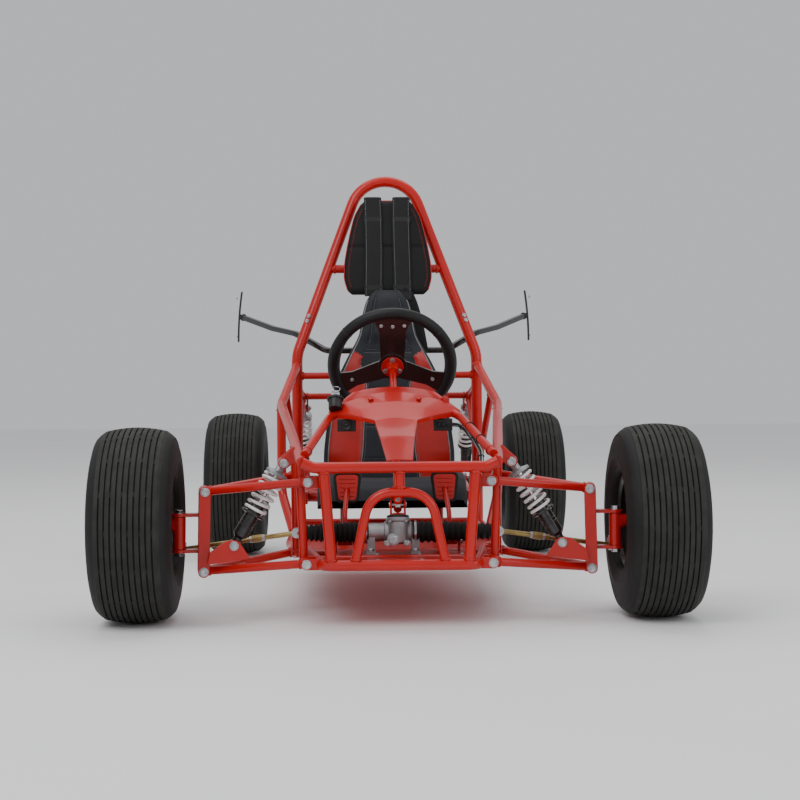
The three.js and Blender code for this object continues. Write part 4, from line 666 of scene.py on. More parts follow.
def floor_frame():
    s = Shape()
    t = tubes()
    line = [(rail_x(RAIL_FRONT_Y), RAIL_FRONT_Y), (rail_x(-560), -560), (RAIL_HALF, -390), (RAIL_HALF, 224)]
    for side in (1, -1):
        s.tube([mm(x * side, y, BAR_LOW) for x, y in line], 0.080, t.frame_tube)
    outline = [(x / 1000, y / 1000) for x, y in line[:3] + [(RAIL_HALF, 194)]]
    outline += [(-x, y) for x, y in reversed(outline)]
    s.plate(outline, mm(0, 0, 133.3), X, Y, 0.004)
    s.block(mm(-170, -855, 147), mm(170, -615, 152))
    for y in (-750, -625, -160, -20):
        x = rail_x(y) if y < -600 else 262
        s.rod(mm(-x, y, BAR_LOW), mm(x, y, BAR_LOW), t.arm_tube)
    s.rod(mm(-262, 217, BAR_LOW), mm(262, 217, BAR_LOW), t.arm_tube)
    for y in (-160, -20):
        for x in (-130, 130):
            s.welded(mm(x, y, BAR_LOW), mm(x, y, 224.5), t.arm_tube, ends=(True, False))
    for side in (1, -1):
        pivot = joint_at("brake_pedal_pivot" if side > 0 else "throttle_pedal_pivot")
        for end in (1, -1):
            outline = [(-0.013, -0.026), (0.013, -0.026), (0.012, 0.004), (0.006, 0.011), (-0.006, 0.011),
                       (-0.012, 0.004)]
            s.plate(outline, pivot + X * end * 0.022, Y, Z, 0.005)
        s.through_bolt(pivot, X, 0.0248)
    for x in (-150, -50, 50, 150):
        for y in (-845, -735):
            s.bolt(mm(x, y, 152), Z, 1, 0.010, 0.004)
    s.bake("floor_and_rails", "chassis", use("red", "zinc"), ["floor_frame"], 0.0006)


def roll_hoop():
    s = Shape()
    t = tubes()
    legs = [HOOP_FOOT, HOOP_KNEE]
    s.tube([mirrored(p, -1) for p in legs] + [HOOP_APEX] + legs[::-1], [0.110, 0.105, 0.110], t.hoop_tube,
           sides=28)
    high = hoop_at(896)
    s.welded(mirrored(high, -1), high, t.frame_tube, 0.019)
    s.welded(mm(-266, 240, 577), mm(RAIL_HALF, 240, 577), t.arm_tube, 0.018)
    for side in (1, -1):
        pivot = joint_at("swingarm_pivot")
        ear = [(-0.055, -0.018), (0.010, -0.018), (0.017, -0.010), (0.017, 0.010), (0.010, 0.018),
               (-0.055, 0.018)]
        s.plate(ear, mirrored(pivot + mm(244, 0, 0), side), Y, Z, 0.012)
        s.bolt(mirrored(pivot + mm(250.2, 0, 0), side), X * side)
        for z in (738, 752):
            leg = mirrored(hoop_at(z), side)
            s.bolt(leg + mm(6 * side, -15.2, 2), (Y * -1 + X * side * 0.3).normalized(), 1, 0.010, 0.005)
    s.bake("roll_hoop_tubes", "chassis", use("red", "zinc"), ["roll_hoop"], 0.0006)


def rear_subframe():
    s = Shape()
    t = tubes()
    for name, side in SIDES:
        eye = joint_at(f"shock_pivot_rear_{name}")
        top = eye + mm(0, -15, 36)
        s.welded(mirrored(mm(RAIL_HALF, 238, 552), side), top, t.arm_tube, 0.020)
        s.welded(mirrored(mm(RAIL_HALF, 230, 330), side), top, t.arm_tube, 0.020)
        shock_ears(s, eye, top, X)
    top = joint_at("shock_pivot_rear_left") + mm(0, -15, 36)
    s.rod(mirrored(top, -1), top, t.arm_tube)
    for side in (1, -1):
        s.bead(mirrored(top - X * 0.014, side), X, t.arm_tube)
    s.bake("rear_subframe_tubes", "chassis", use("red", "zinc"), ["rear_subframe"], 0.0006)


class KART_OT_frame(Operator):
    """Builds the welded tubular frame"""
    bl_idname = "kart.frame"
    bl_label = "Frame"

    def execute(self, context):
        bulkhead()
        for name, side in SIDES:
            side_frame(name, side)
        floor_frame()
        roll_hoop()
        rear_subframe()
        return {"FINISHED"}


# ---- front corners ------------------------------------------------------------------------------

def boss(s, at, axis, long=BOSS_LENGTH, dia=0.026):
    """A pivot tube with rounded ends."""
    r, h = dia / 2, long / 2
    s.lathe([(0, -h), (r - 0.003, -h), (r - 0.0015, -h + 0.001), (r, -h + 0.003), (r, h - 0.003),
             (r - 0.0015, h - 0.001), (r - 0.003, h), (0, h)], at, axis, 28)


def arm_legs(s, low, rear, outer, back):
    t = tubes()
    for inner in (low, rear):
        along = (outer - inner).normalized()
        s.rod(inner, outer, t.arm_tube)
        s.bead(inner + along * 0.0135, along, t.arm_tube)
        s.bead(outer - along * 0.016, along, t.arm_tube)
    for pivot in (low, rear, outer):
        boss(s, pivot, back)


def upper_arm(name, side):
    low, high, back, _ = corner_frame(name, side)
    outer = joint_at(f"upright_pivot_{name}") + high - low
    s = Shape()
    arm_legs(s, high, high + back * PIVOT_SPREAD, outer, back)
    s.bake(f"upper_wishbone_{name}", f"upper_arm_{name}", use("red"), [f"upper_arm_{name}"],
           0.0004)


def shock_foot(name, end):
    """The lower eye of a shock absorber at rest."""
    head = joint_at(f"shock_pivot_{end}_{name}")
    reach = 0.2245 if end == "front" else 0.2319
    return head - joint_axis(f"shock_travel_{end}_{name}") * reach


def lower_arm(name, side):
    low, _, back, out = corner_frame(name, side)
    outer = joint_at(f"upright_pivot_{name}")
    rear = low + back * PIVOT_SPREAD
    t = tubes()
    s = Shape()
    arm_legs(s, low, rear, outer, back)
    eye = shock_foot(name, "front")
    reach = (eye - low).dot(out)
    span = (outer - low).dot(out)

    def on_leg(inner, x):
        return inner.lerp(outer, (x - (inner - low).dot(out)) / span)

    a, b = reach - 0.030, reach + 0.034
    corners = [on_leg(low, a), on_leg(low, b), on_leg(rear, b), on_leg(rear, a)]
    origin = sum(corners, Vector()) / 4
    u = (outer - low - back * (outer - low).dot(back)).normalized()
    s.plate([((c - origin).dot(u), (c - origin).dot(back)) for c in corners], origin, u, back, t.plate)
    half = 0.0123
    front = [(-0.038, -0.030), (0.062, -0.043), (0.056, -0.014), (0.020, 0.011), (0.012, 0.013),
             (-0.006, 0.013),
             (-0.013, 0.008)]
    s.plate(front, eye - back * (half + t.plate / 2), out, Z, t.plate)
    rear_plate = [(-0.014, -0.036), (0.016, -0.038)]
    rear_plate += [(0.0135 * math.cos(math.radians(d)), 0.0135 * math.sin(math.radians(d)))
                   for d in range(0, 181, 20)]
    s.plate(rear_plate, eye + back * (half + t.plate / 2), out, Z, t.plate)
    s.through_bolt(eye, back, half + t.plate)
    s.bake(f"lower_wishbone_{name}", f"lower_arm_{name}", use("red", "zinc"),
           [f"lower_arm_{name}"], 0.0005)


def link_outline(a, b, radius):
    """A link with a round end at each of two points, as a list of corners."""
    angle = math.atan2(b[1] - a[1], b[0] - a[0])
    out = []
    for centre, start in ((b, -90), (a, 90)):
        for d in range(start, start + 181, 15):
            turn = angle + math.radians(d)
            out.append((centre[0] + radius * math.cos(turn), centre[1] + radius * math.sin(turn)))
    return out


def upright(name, side):
    low, high, back, out = corner_frame(name, side)
    outer = joint_at(f"upright_pivot_{name}")
    top = outer + high - low
    t = tubes()
    half = BOSS_LENGTH / 2 + 0.0003
    s = Shape()
    rise = top - outer
    outline = link_outline((0, 0), (rise.dot(out), rise.z), 0.0135)
    for end in (1, -1):
        s.plate(outline, outer + back * end * (half + t.plate / 2), out, Z, t.plate)
    mid = outer + rise * 0.5
    core = [(-0.011, -0.070), (0.013, -0.070), (0.011, 0.070), (-0.013, 0.070)]
    s.plate(core, mid, out, Z, 2 * half)
    for pivot in (outer, top):
        s.through_bolt(pivot, back, half + t.plate)
    kingpin = joint_at(f"kingpin_{name}")
    for low_z, high_z in ((0.1617, 0.1697), (0.2463, 0.2543)):
        at = Vector((kingpin.x, kingpin.y, low_z))
        s.lathe([(0, 0), (0.0160, 0), (0.0172, 0.001), (0.0172, high_z - low_z - 0.001),
                 (0.0160, high_z - low_z),
                 (0, high_z - low_z)], at, Z, 32)
        start = (outer - at).dot(out)
        near = at + out * start
        s.plate([(0, -0.014), (-start, -0.014), (-start, 0.014), (0, 0.014)],
                Vector((near.x, near.y, (low_z + high_z) / 2)), out, back, high_z - low_z)
    s.rod(Vector((kingpin.x, kingpin.y, 0.155)), Vector((kingpin.x, kingpin.y, 0.258)), 0.012, 1)
    s.bolt(Vector((kingpin.x, kingpin.y, 0.2545)), Z, 1, 0.018, 0.008)
    s.bolt(Vector((kingpin.x, kingpin.y, 0.1615)), -Z, 1, 0.018, 0.008)
    s.bake(f"upright_plates_{name}", f"upright_{name}", use("red", "zinc"),
           [f"upright_{name}"], 0.0006)


def spindle(name, side):
    kingpin = joint_at(f"kingpin_{name}")
    hub = joint_at(f"front_wheel_spin_{name}")
    s = Shape()
    at = Vector((kingpin.x, kingpin.y, 0.170))
    s.lathe([(0.0066, 0), (0.014, 0), (0.015, 0.001), (0.015, 0.075), (0.014, 0.076), (0.0066, 0.076)], at,
            Z, 32)
    axle = Vector((kingpin.x, kingpin.y, hub.z))
    s.rod(axle + X * side * 0.012, hub + X * side * 0.046, 0.0196, 1)
    s.lathe([(0, 0.010), (0.018, 0.010), (0.0145, 0.022), (0.014, 0.038), (0, 0.038)], axle, X * side, 28)
    s.bolt(hub + X * side * 0.0345, X * side, 1, 0.028, 0.011)
    arm = [(-0.011, 0), (0.011, 0)] + [(0.011 * math.cos(math.radians(d)),
                                        0.060 + 0.011 * math.sin(math.radians(d)))
                                      for d in range(0, 181, 20)]
    s.plate(arm, Vector((kingpin.x, kingpin.y, 0.176)), X, Y, 0.008)
    s.bolt(Vector((kingpin.x, kingpin.y + 0.060, 0.180)), Z, 1, 0.014)
    s.bake(f"stub_axle_{name}", f"spindle_{name}", use("red", "zinc"), [f"spindle_{name}"],
           0.0005)


def shock(name, side, end):
    """A shock absorber: body with its eye, rod with the upper eye, and the coil between two seats."""
    head = joint_at(f"shock_pivot_{end}_{name}")
    axis = joint_axis(f"shock_travel_{end}_{name}")
    foot = shock_foot(name, end)
    reach = (head - foot).length
    eye_axis = corner_frame(name, side)[2] if end == "front" else X
    s = Shape()
    s.lathe([(0.0062, -0.012), (0.0115, -0.012), (0.0130, -0.010), (0.0130, 0.010), (0.0115, 0.012),
             (0.0062, 0.012)],
            foot, eye_axis, 28)
    s.lathe([(0, 0.010), (0.0092, 0.010), (0.0100, 0.020), (0.0168, 0.027), (0.0170, 0.030),
             (0.0170, 0.082),
             (0.0235, 0.0825), (0.0278, 0.084), (0.0278, 0.088), (0.0262, 0.0895), (0.0170, 0.0898),
             (0.0170, 0.114),
             (0.0155, 0.1175), (0.0064, 0.118), (0.0064, 0.110), (0, 0.110)], foot, axis, 36)
    for k in range(3):
        s.lathe([(0.0170, 0.050 + k * 0.008), (0.0180, 0.051 + k * 0.008), (0.0180, 0.0545 + k * 0.008),
                 (0.0170, 0.0555 + k * 0.008)], foot, axis, 36)
    s.bake(f"shock_cylinder_{end}_{name}", f"shock_body_{end}_{name}", use("black", "zinc"),
           [f"shock_body_{end}_{name}"])
    s = Shape()
    s.lathe([(0.0053, -0.012), (0.0115, -0.012), (0.0130, -0.010), (0.0130, 0.010), (0.0115, 0.012),
             (0.0053, 0.012)],
            head, eye_axis, 28, 1)
    s.lathe([(0, -0.010), (0.0095, -0.010), (0.0105, -0.022), (0.0262, -0.0262), (0.0278, -0.0275),
             (0.0278, -0.0325),
             (0.0262, -0.034), (0.0070, -0.034), (0, -0.034)], head, axis, 36, 1)
    s.rod(head - axis * 0.032, foot + axis * 0.066, 0.0118, 0, 20)
    s.bake(f"shock_piston_rod_{end}_{name}", f"shock_rod_{end}_{name}", use("chrome", "cast"),
           [f"shock_rod_{end}_{name}"])
    coil_spring(name, end, foot, axis, 0.0903, reach - 0.0343)


def coil_spring(name, end, foot, axis, low, high):
    """A wire coil whose first and last turns lie flat against their seats."""
    wire, dia, turns, steps = 0.0076, 0.0490, 6.5, 32
    u = axis.orthogonal().normalized()
    v = axis.cross(u)
    count = int(turns * steps)
    path = []
    for i in range(count + 1):
        t = i / count
        flat = 0.11
        eased = min(1, max(0, (t - flat) / (1 - 2 * flat)))
        ends = (min(t, flat) + max(0, t - 1 + flat)) / (2 * flat)
        rise = low + wire / 2 + (high - low - wire) * (0.90 * eased + 0.10 * ends)
        angle = 2 * math.pi * turns * t
        path.append(foot + axis * rise + (u * math.cos(angle) + v * math.sin(angle)) * dia / 2)
    s = Shape()
    s.sweep(path, circle(wire, 12))
    coil = s.bake(f"coil_{end}_{name}", None, use("white"), [f"spring_{end}_{name}"],
                  sharp=60)
    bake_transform(coil)


class KART_OT_front_corners(Operator):
    """Builds the wishbones, uprights, stub axles and shock absorbers"""
    bl_idname = "kart.front_corners"
    bl_label = "Front corners and shock absorbers"

    def execute(self, context):
        for name, side in SIDES:
            lower_arm(name, side)
            upper_arm(name, side)
            upright(name, side)
            spindle(name, side)
            for end in ENDS:
                shock(name, side, end)
        return {"FINISHED"}


# ---- wheels -------------------------------------------------------------------------------------

def tread_profile(radius, half, ribs, groove):
    """Radius and distance from the middle across a ribbed tread, and the finish of each step."""
    belt = half - 0.024
    pitch = 2 * belt / ribs
    points, finishes = [], []
    for k in range(ribs):
        start = -belt + k * pitch
        for share in (0.10, 0.16, 0.5, 0.84, 0.90):
            x = start + pitch * share
            crown = 0.0095 * (x / belt) ** 2
            top = radius - crown - (0.0012 if share in (0.10, 0.90) else 0)
            points.append((top, x))
            finishes.append(1)
        if k < ribs - 1:
            x = start + pitch
            floor = radius - 0.0095 * (x / belt) ** 2 - groove
            points += [(floor, x - pitch * 0.055), (floor, x + pitch * 0.055)]
            finishes[-1] = 0
            finishes += [0, 0]
    return points, finishes


def tyre(name):
    low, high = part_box(f"tyre_{name}")
    centre = (low + high) / 2
    radius = (high.z - low.z) / 2
    half = (high.x - low.x) / 2
    sizes = bpy.context.scene.kart_wheels
    tread, finishes = tread_profile(radius, half, sizes.ribs, sizes.groove)
    wall = [(radius - 0.0125, half - 0.0215), (radius - 0.016, half - 0.0165),
            (radius - 0.024, half - 0.0085),
            (radius - 0.026, half - 0.0075), (radius - 0.028, half - 0.0085),
            (radius - 0.042, half - 0.003),
            (radius - 0.060, half - 0.0008), (0.150, half - 0.0008), (0.147, half + 0.0002),
            (0.144, half - 0.0008),
            (0.130, half - 0.006), (0.1235, half - 0.009), (0.1215, half - 0.0085), (0.1190, half - 0.011),
            (0.1155, half - 0.017), (0.1145, half - 0.0285), (0.1040, half - 0.0300),
            (0.1040, half - 0.044)]
    rise = [(r, -x) for r, x in reversed(wall)]
    profile = rise + tread + wall
    marks = [0] * len(rise) + finishes + [0] * len(wall)
    cavity = [(0.165, half - 0.020), (radius - 0.022, half - 0.032)]
    profile += [cavity[0], cavity[1], (cavity[1][0], -cavity[1][1]), (cavity[0][0], -cavity[0][1])]
    marks += [0] * 4
    s = Shape()
    s.lathe(profile, centre, X, sizes.facets, marks)
    belt = half - 0.024
    pitch = 2 * belt / sizes.ribs
    for k in range(1, sizes.ribs):
        x = -belt + k * pitch
        crown = 0.0095 * (x / belt) ** 2
        for turn in range(8):
            angle = 2 * math.pi * (turn + 0.5 * (k % 2)) / 8
            out = Vector((0, math.cos(angle), math.sin(angle)))
            along = X.cross(out)
            at = centre + X * x + out * (radius - crown - sizes.groove * 0.72)
            s.plate([(-pitch * 0.1, -0.006), (pitch * 0.1, -0.006), (pitch * 0.1, 0.006),
                     (-pitch * 0.1, 0.006)],
                    at, X, along, sizes.groove * 0.9)
    s.bake(f"ribbed_tyre_{name}", wheel_body(name), use("rubber", "tread"),
           [f"tyre_{name}"], sharp=32)


def wheel_body(name):
    end, side = name.split("_")
    return f"front_wheel_{side}" if end == "front" else "rear_axle"


def rim(name, side):
    low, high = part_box(f"tyre_{name}")
    centre = (low + high) / 2
    out = X * side
    bore = 0.0103 if name.startswith("front") else 0.0153
    inside, seat, lip = 0.0956, 0.1016, 0.1111
    profile = [(bore, -0.058), (bore + 0.014, -0.058), (bore + 0.015, -0.056), (bore + 0.015, 0.018),
               (bore + 0.024, 0.0205), (0.070, 0.0170), (0.082, 0.0195), (0.092, 0.0205), (inside, 0.019),
               (inside, -0.068), (inside + 0.004, -0.0735), (lip - 0.002, -0.0750), (lip, -0.0735),
               (lip, -0.0705),
               (lip - 0.004, -0.069), (seat + 0.001, -0.066), (seat, -0.064), (seat, -0.040),
               (seat - 0.003, -0.034),
               (seat - 0.003, 0.034), (seat, 0.040), (seat, 0.064), (seat + 0.001, 0.066),
               (lip - 0.004, 0.069),
               (lip, 0.0705), (lip, 0.0735), (lip - 0.002, 0.0750), (inside + 0.004, 0.0735),
               (inside, 0.068),
               (inside, 0.0265), (0.092, 0.0262), (0.082, 0.0250), (0.070, 0.0222), (bore + 0.024, 0.0260),
               (bore + 0.015, 0.0265), (bore + 0.0145, 0.0330), (bore + 0.013, 0.0338), (bore, 0.0338)]
    s = Shape()
    s.lathe(profile, centre, out, 96)
    for k in range(4):
        angle = math.pi / 4 + k * math.pi / 2
        spot = centre + (Y * math.cos(angle) + Z * math.sin(angle)) * 0.056
        s.bolt(spot + out * 0.0238, out, 1, 0.017, 0.008)
        s.rod(spot + out * 0.024, spot + out * 0.038, 0.010, 1, 14)
        s.bolt(spot + out * 0.0188, -out, 1, 0.016, 0.006)
    valve = centre + Z * 0.086
    s.rod(valve + out * 0.022, valve + out * 0.052 + Z * 0.002, 0.0075, 2, 14)
    s.rod(valve + out * 0.050 + Z * 0.002, valve + out * 0.058 + Z * 0.0025, 0.0090, 2, 14)
    s.bake(f"steel_rim_{name}", wheel_body(name), use("black", "zinc", "rubber"),
           [f"rim_{name}"])


class KART_OT_wheels(Operator):
    """Builds the four steel rims and ribbed tyres"""
    bl_idname = "kart.wheels"
    bl_label = "Wheels"

    def execute(self, context):
        for name, side in SIDES:
            for end in ENDS:
                tyre(f"{end}_{name}")
                rim(f"{end}_{name}", side)
        return {"FINISHED"}


# ---- cowl and fender bar ------------------------------------------------------------------------

def table(values, t):
    """A value between evenly spaced ones, with t from 0 to 1."""
    place = min(max(t, 0), 1) * (len(values) - 1)
    i = min(int(place), len(values) - 2)
    return values[i] + (values[i + 1] - values[i]) * (place - i)


def smooth(low, high, t):
    t = min(1, max(0, (t - low) / (high - low)))
    return t * t * (3 - 2 * t)


def loft(s, rings, paint_of=None, closed_ends=True):
    """Faces between rings of equally many points. paint_of(ring, place) numbers each face's material."""
    sides = len(rings[0])
    points = [p for ring in rings for p in ring]
    base = len(s.points)
    s.points += points
    for i in range(len(rings) - 1):
        for a in range(sides):
            b = (a + 1) % sides
            face = (i * sides + a, i * sides + b, (i + 1) * sides + b, (i + 1) * sides + a)
            s.add_faces([face], base, paint_of(i, a) if paint_of else 0)
    if closed_ends:
        s.add_faces([tuple(reversed(range(sides)))], base, paint_of(0, sides - 1) if paint_of else 0)
        last = (len(rings) - 1) * sides
        s.add_faces([tuple(range(last, last + sides))], base, paint_of(0, sides - 1) if paint_of else 0)


COWL_Y = (-448, -490, -540, -600, -700, -866)
COWL_HALF = (105, 165, 112, 52, 40, 30)
COWL_CROWN = (547, 535, 512, 474, 430, 385)
COWL_EDGE = (533, 487, 480, 467, 427, 383)


def cowl_shell(s):
    steps, across = 60, 28
    rings = []
    for i in range(steps + 1):
        t = i / steps
        half, crown, edge = table(COWL_HALF, t), table(COWL_CROWN, t), table(COWL_EDGE, t)
        lip = 18 + (3 - 18) * t
        top, under = [], []
        for k in range(across + 1):
            u = -1 + 2 * k / across
            z = edge + (crown - edge) * (1 - u * u)
            top.append(mm(u * half, table(COWL_Y, t), z))
            under.append(mm(u * (half - 3), table(COWL_Y, t), z - 3))
        left = [mm(half, table(COWL_Y, t), edge - lip), mm(half - 3, table(COWL_Y, t), edge - lip)]
        right = [mm(3 - half, table(COWL_Y, t), edge - lip), mm(-half, table(COWL_Y, t), edge - lip)]
        rings.append(top + left + under[::-1] + right)
    loft(s, rings)


def cowl():
    s = Shape()
    t = tubes()
    cowl_shell(s)
    bearing = mm(0, -459.4, 519.5)
    for side in (1, -1):
        line = [mm(216, -840, 395), mm(161, -502, 474), mm(50, -459.4, 519.5)]
        s.tube([mirrored(p, side) for p in line], 0.050, t.arm_tube)
        s.bead(mirrored(mm(211, -812, 401), side), (line[1] - line[0]).normalized(), t.arm_tube)
        for y, x in ((-720, 197), (-610, 180)):
            if side > 0:
                s.tube([mm(x + 11 * math.cos(a), y, 0.234 * (y + 840) + 395 + 11 * math.sin(a))
                        for a in [2 * math.pi * k / 20 for k in range(20)]], 0.001, 0.0032, 1, 6, True)
    s.rod(bearing - X * 0.054, bearing + X * 0.054, t.arm_tube)
    along = joint_axis("steering")
    s.lathe([(0.0100, -0.014), (0.0150, -0.014), (0.016, -0.0125), (0.016, 0.0125), (0.0150, 0.014),
             (0.0100, 0.014)],
            bearing, along, 36)
    s.lathe([(0.0081, 0), (0.0104, 0), (0.0110, 0.0008), (0.0110, 0.0155), (0.0104, 0.016),
             (0.0081, 0.016)],
            mm(128, -474, 502), Z, 32)
    for x, y, z in ((-60, -520, 516), (60, -520, 516)):
        s.bolt(mm(x, y, z), (Z + Y * -0.35).normalized(), 0, 0.011, 0.004)
    s.bake("dash_cowl_sheet", "chassis", use("red", "plastic"), ["dash_cowl"], 0.0006,
           sharp=28)


def fender_bar():
    s = Shape()
    line = [mm(452, 600, 767), mm(345, 430, 724), mm(270, 317, 704), mm(180, 275, 652)]
    path = filleted(line + [mirrored(p, -1) for p in reversed(line)], 0.045)
    half, r = 0.008, 0.0022
    section = []
    for cx, cy, start in ((1, 1, 0), (-1, 1, 90), (-1, -1, 180), (1, -1, 270)):
        for d in (0, 30, 60, 90):
            a = math.radians(start + d)
            section.append((cx * (half - r) + r * math.cos(a), cy * (half - r) + r * math.sin(a)))
    s.sweep(path, section, side=Vector((0, 0, 1)))
    for side in (1, -1):
        rings = []
        for k in range(25):
            w = -1 + 2 * k / 24
            x = 460 - 6 * w - 3 * w * w
            end = 1 if 0 < k < 24 else 0.86
            ring = [mm((x + a * 3 * end) * side, 600 + b * 8 * end, 767 + w * 80)
                    for a, b in ((1, 0.8), (0.8, 1), (-0.8, 1), (-1, 0.8), (-1, -0.8), (-0.8, -1),
                                 (0.8, -1), (1, -0.8))]
            rings.append(ring)
        loft(s, rings)
        for z in (706, 828):
            s.bolt(mm(465.2 * side, 600, z), X * side, 1, 0.010, 0.004)
        s.bead(mm(446 * side, 590, 764.5),
               (mm(452 * side, 600, 767) - mm(345 * side, 430, 724)).normalized(), 0.019)
        s.block(mirrored(mm(233.6, 269.5, 681), side), mirrored(mm(253.6, 304, 701), side))
        s.bolt(mirrored(mm(254, 288, 691), side), X * side, 1, 0.012, 0.005)
    s.bake("fender_bar_square", "chassis", use("black", "zinc"), ["fender_bar"], 0.0006)


# ---- steering -----------------------------------------------------------------------------------

HUB = mm(0, -320, 600)
LOWER_JOINT = mm(0, -696.54, 268.0)
UPPER_JOINT = mm(0, -506.195, 492.5)
PINION_DIR = Vector((0, 0.1736, 0.9848))
RACK = mm(0, RACK_Y, 203)


def column_frame():
    """Across, up the wheel's face and along the column."""
    along = joint_axis("steering")
    if along.y < 0:
        along = -along
    up = X.cross(along).normalized()
    if up.z < 0:
        up = -up
    return X.copy(), up, along


def wheel_point(angle, radius):
    """A point of the steering wheel's ring in the plane of its face: angle 0 is its top."""
    x, y = radius * math.sin(angle), radius * math.cos(angle)
    limit = -0.8 * 0.168
    if y < limit:
        y = limit + (y - limit) * 0.6
    return x, y


def steering_wheel():
    u, v, w = column_frame()

    def at(x, y, z=0.0):
        return HUB + u * x + v * y + w * z

    s = Shape()
    count = 120
    ring = [at(*wheel_point(2 * math.pi * k / count, 0.153), 0.004) for k in range(count)]

    def swell(k):
        angle = math.degrees(2 * math.pi * k / count)
        near = min(abs(angle - 90), abs(angle - 270))
        return 1.0 + 0.10 * (1 - smooth(14, 34, near))

    s.sweep(ring, circle(0.0295, 24), 0, True, swell, side=w)
    for angle in (50, 130, 230, 310):
        a = math.radians(angle)
        spot = at(*wheel_point(a, 0.153), 0.004)
        tangent = (at(*wheel_point(a + 0.02, 0.153), 0.004) - at(*wheel_point(a - 0.02, 0.153),
            0.004)).normalized()
        r = 0.0150 * (1.10 if 60 < angle % 180 < 120 else 1.0)
        side = tangent.orthogonal().normalized()
        up = tangent.cross(side)
        loop = [spot + (side * math.cos(t) + up * math.sin(t)) * r
                for t in [2 * math.pi * k / 30 for k in range(30)]]
        s.sweep(loop, circle(0.0016, 6), 1, True)
    stitches = 150
    for k in range(stitches):
        a = 2 * math.pi * k / stitches
        spot = at(*wheel_point(a, 0.1387), 0.0045)
        turn = at(*wheel_point(a + 0.02, 0.1387), 0.0045) - at(*wheel_point(a - 0.02, 0.1387), 0.0045)
        lean = (turn.normalized() * 0.0012) + w * 0.0028
        s.rod(spot - lean, spot + lean, 0.0008, 1, 5)
    s.bake("steering_wheel_grip", "steering_column", use("leather", "plastic"),
           ["steering_wheel"])

    s = Shape()
    def blade(angle, inner, outer):
        a = math.radians(angle)
        d, n = (math.sin(a), math.cos(a)), (math.cos(a), -math.sin(a))
        stations = [(0.0, inner), (0.036, inner), (0.070, inner * 0.45 + outer * 0.40),
                    (0.105, outer * 0.72),
                    (0.130, outer * 0.94), (0.146, outer)]
        left = [(d[0] * r - n[0] * h, d[1] * r - n[1] * h) for r, h in stations]
        right = [(d[0] * r + n[0] * h, d[1] * r + n[1] * h) for r, h in reversed(stations)]
        s.plate(left + right, HUB, u, v, 0.005)

    blade(0, 0.032, 0.050)
    blade(110, 0.026, 0.030)
    blade(-110, 0.026, 0.030)
    s.lathe([(0, -0.0032), (0.037, -0.0032), (0.038, -0.0024), (0.038, 0.0024), (0.037, 0.0032),
             (0, 0.0032)], HUB, w, 48)
    for angle, reach in ((0, 0.118), (-14, 0.124), (14, 0.124), (110, 0.112), (-110, 0.112)):
        a = math.radians(angle)
        spot = at(math.sin(a) * reach, math.cos(a) * reach)
        s.lathe([(0, 0.0022), (0.0052, 0.0024), (0.0050, 0.0048), (0.0032, 0.0056), (0.0024, 0.0056),
                 (0.0022, 0.0036),
                 (0, 0.0036)], spot, -w, 20, 1)
        s.lathe([(0, 0.0022), (0.0052, 0.0024), (0.0050, 0.0048), (0, 0.0050)], spot, w, 20, 1)
    s.bake("steering_wheel_plate", "steering_column", use("black", "zinc"), [], 0.0006)


def yoke(s, joint, axis, pin_axis, paint=0):
    """A fork of a universal joint: two ears, their pins' caps and the boss behind them."""
    side = pin_axis.normalized()
    across = axis.cross(side).normalized()
    tip = [(0.010 * math.cos(math.radians(d)), 0.010 * math.sin(math.radians(d)))
           for d in range(-90, 91, 15)]
    outline = [(-0.026, -0.0085)] + tip + [(-0.026, 0.0085)]
    for end in (1, -1):
        s.plate(outline, joint + side * end * 0.0165, axis, across, 0.005)
        s.lathe([(0, 0), (0.0062, 0), (0.0058, 0.0022), (0, 0.0026)], joint + side * end * 0.0188,
                side * end, 20, 1)
        s.rod(joint + side * end * 0.004, joint + side * end * 0.016, 0.0070, 1, 14)
    s.lathe([(0, 0), (0.0125, 0), (0.0185, -0.004), (0.0185, -0.008), (0, -0.008)], joint - axis * 0.020,
            axis, 28, paint)
    s.rod(joint - axis * 0.022, joint - axis * 0.052, 0.0235, paint)


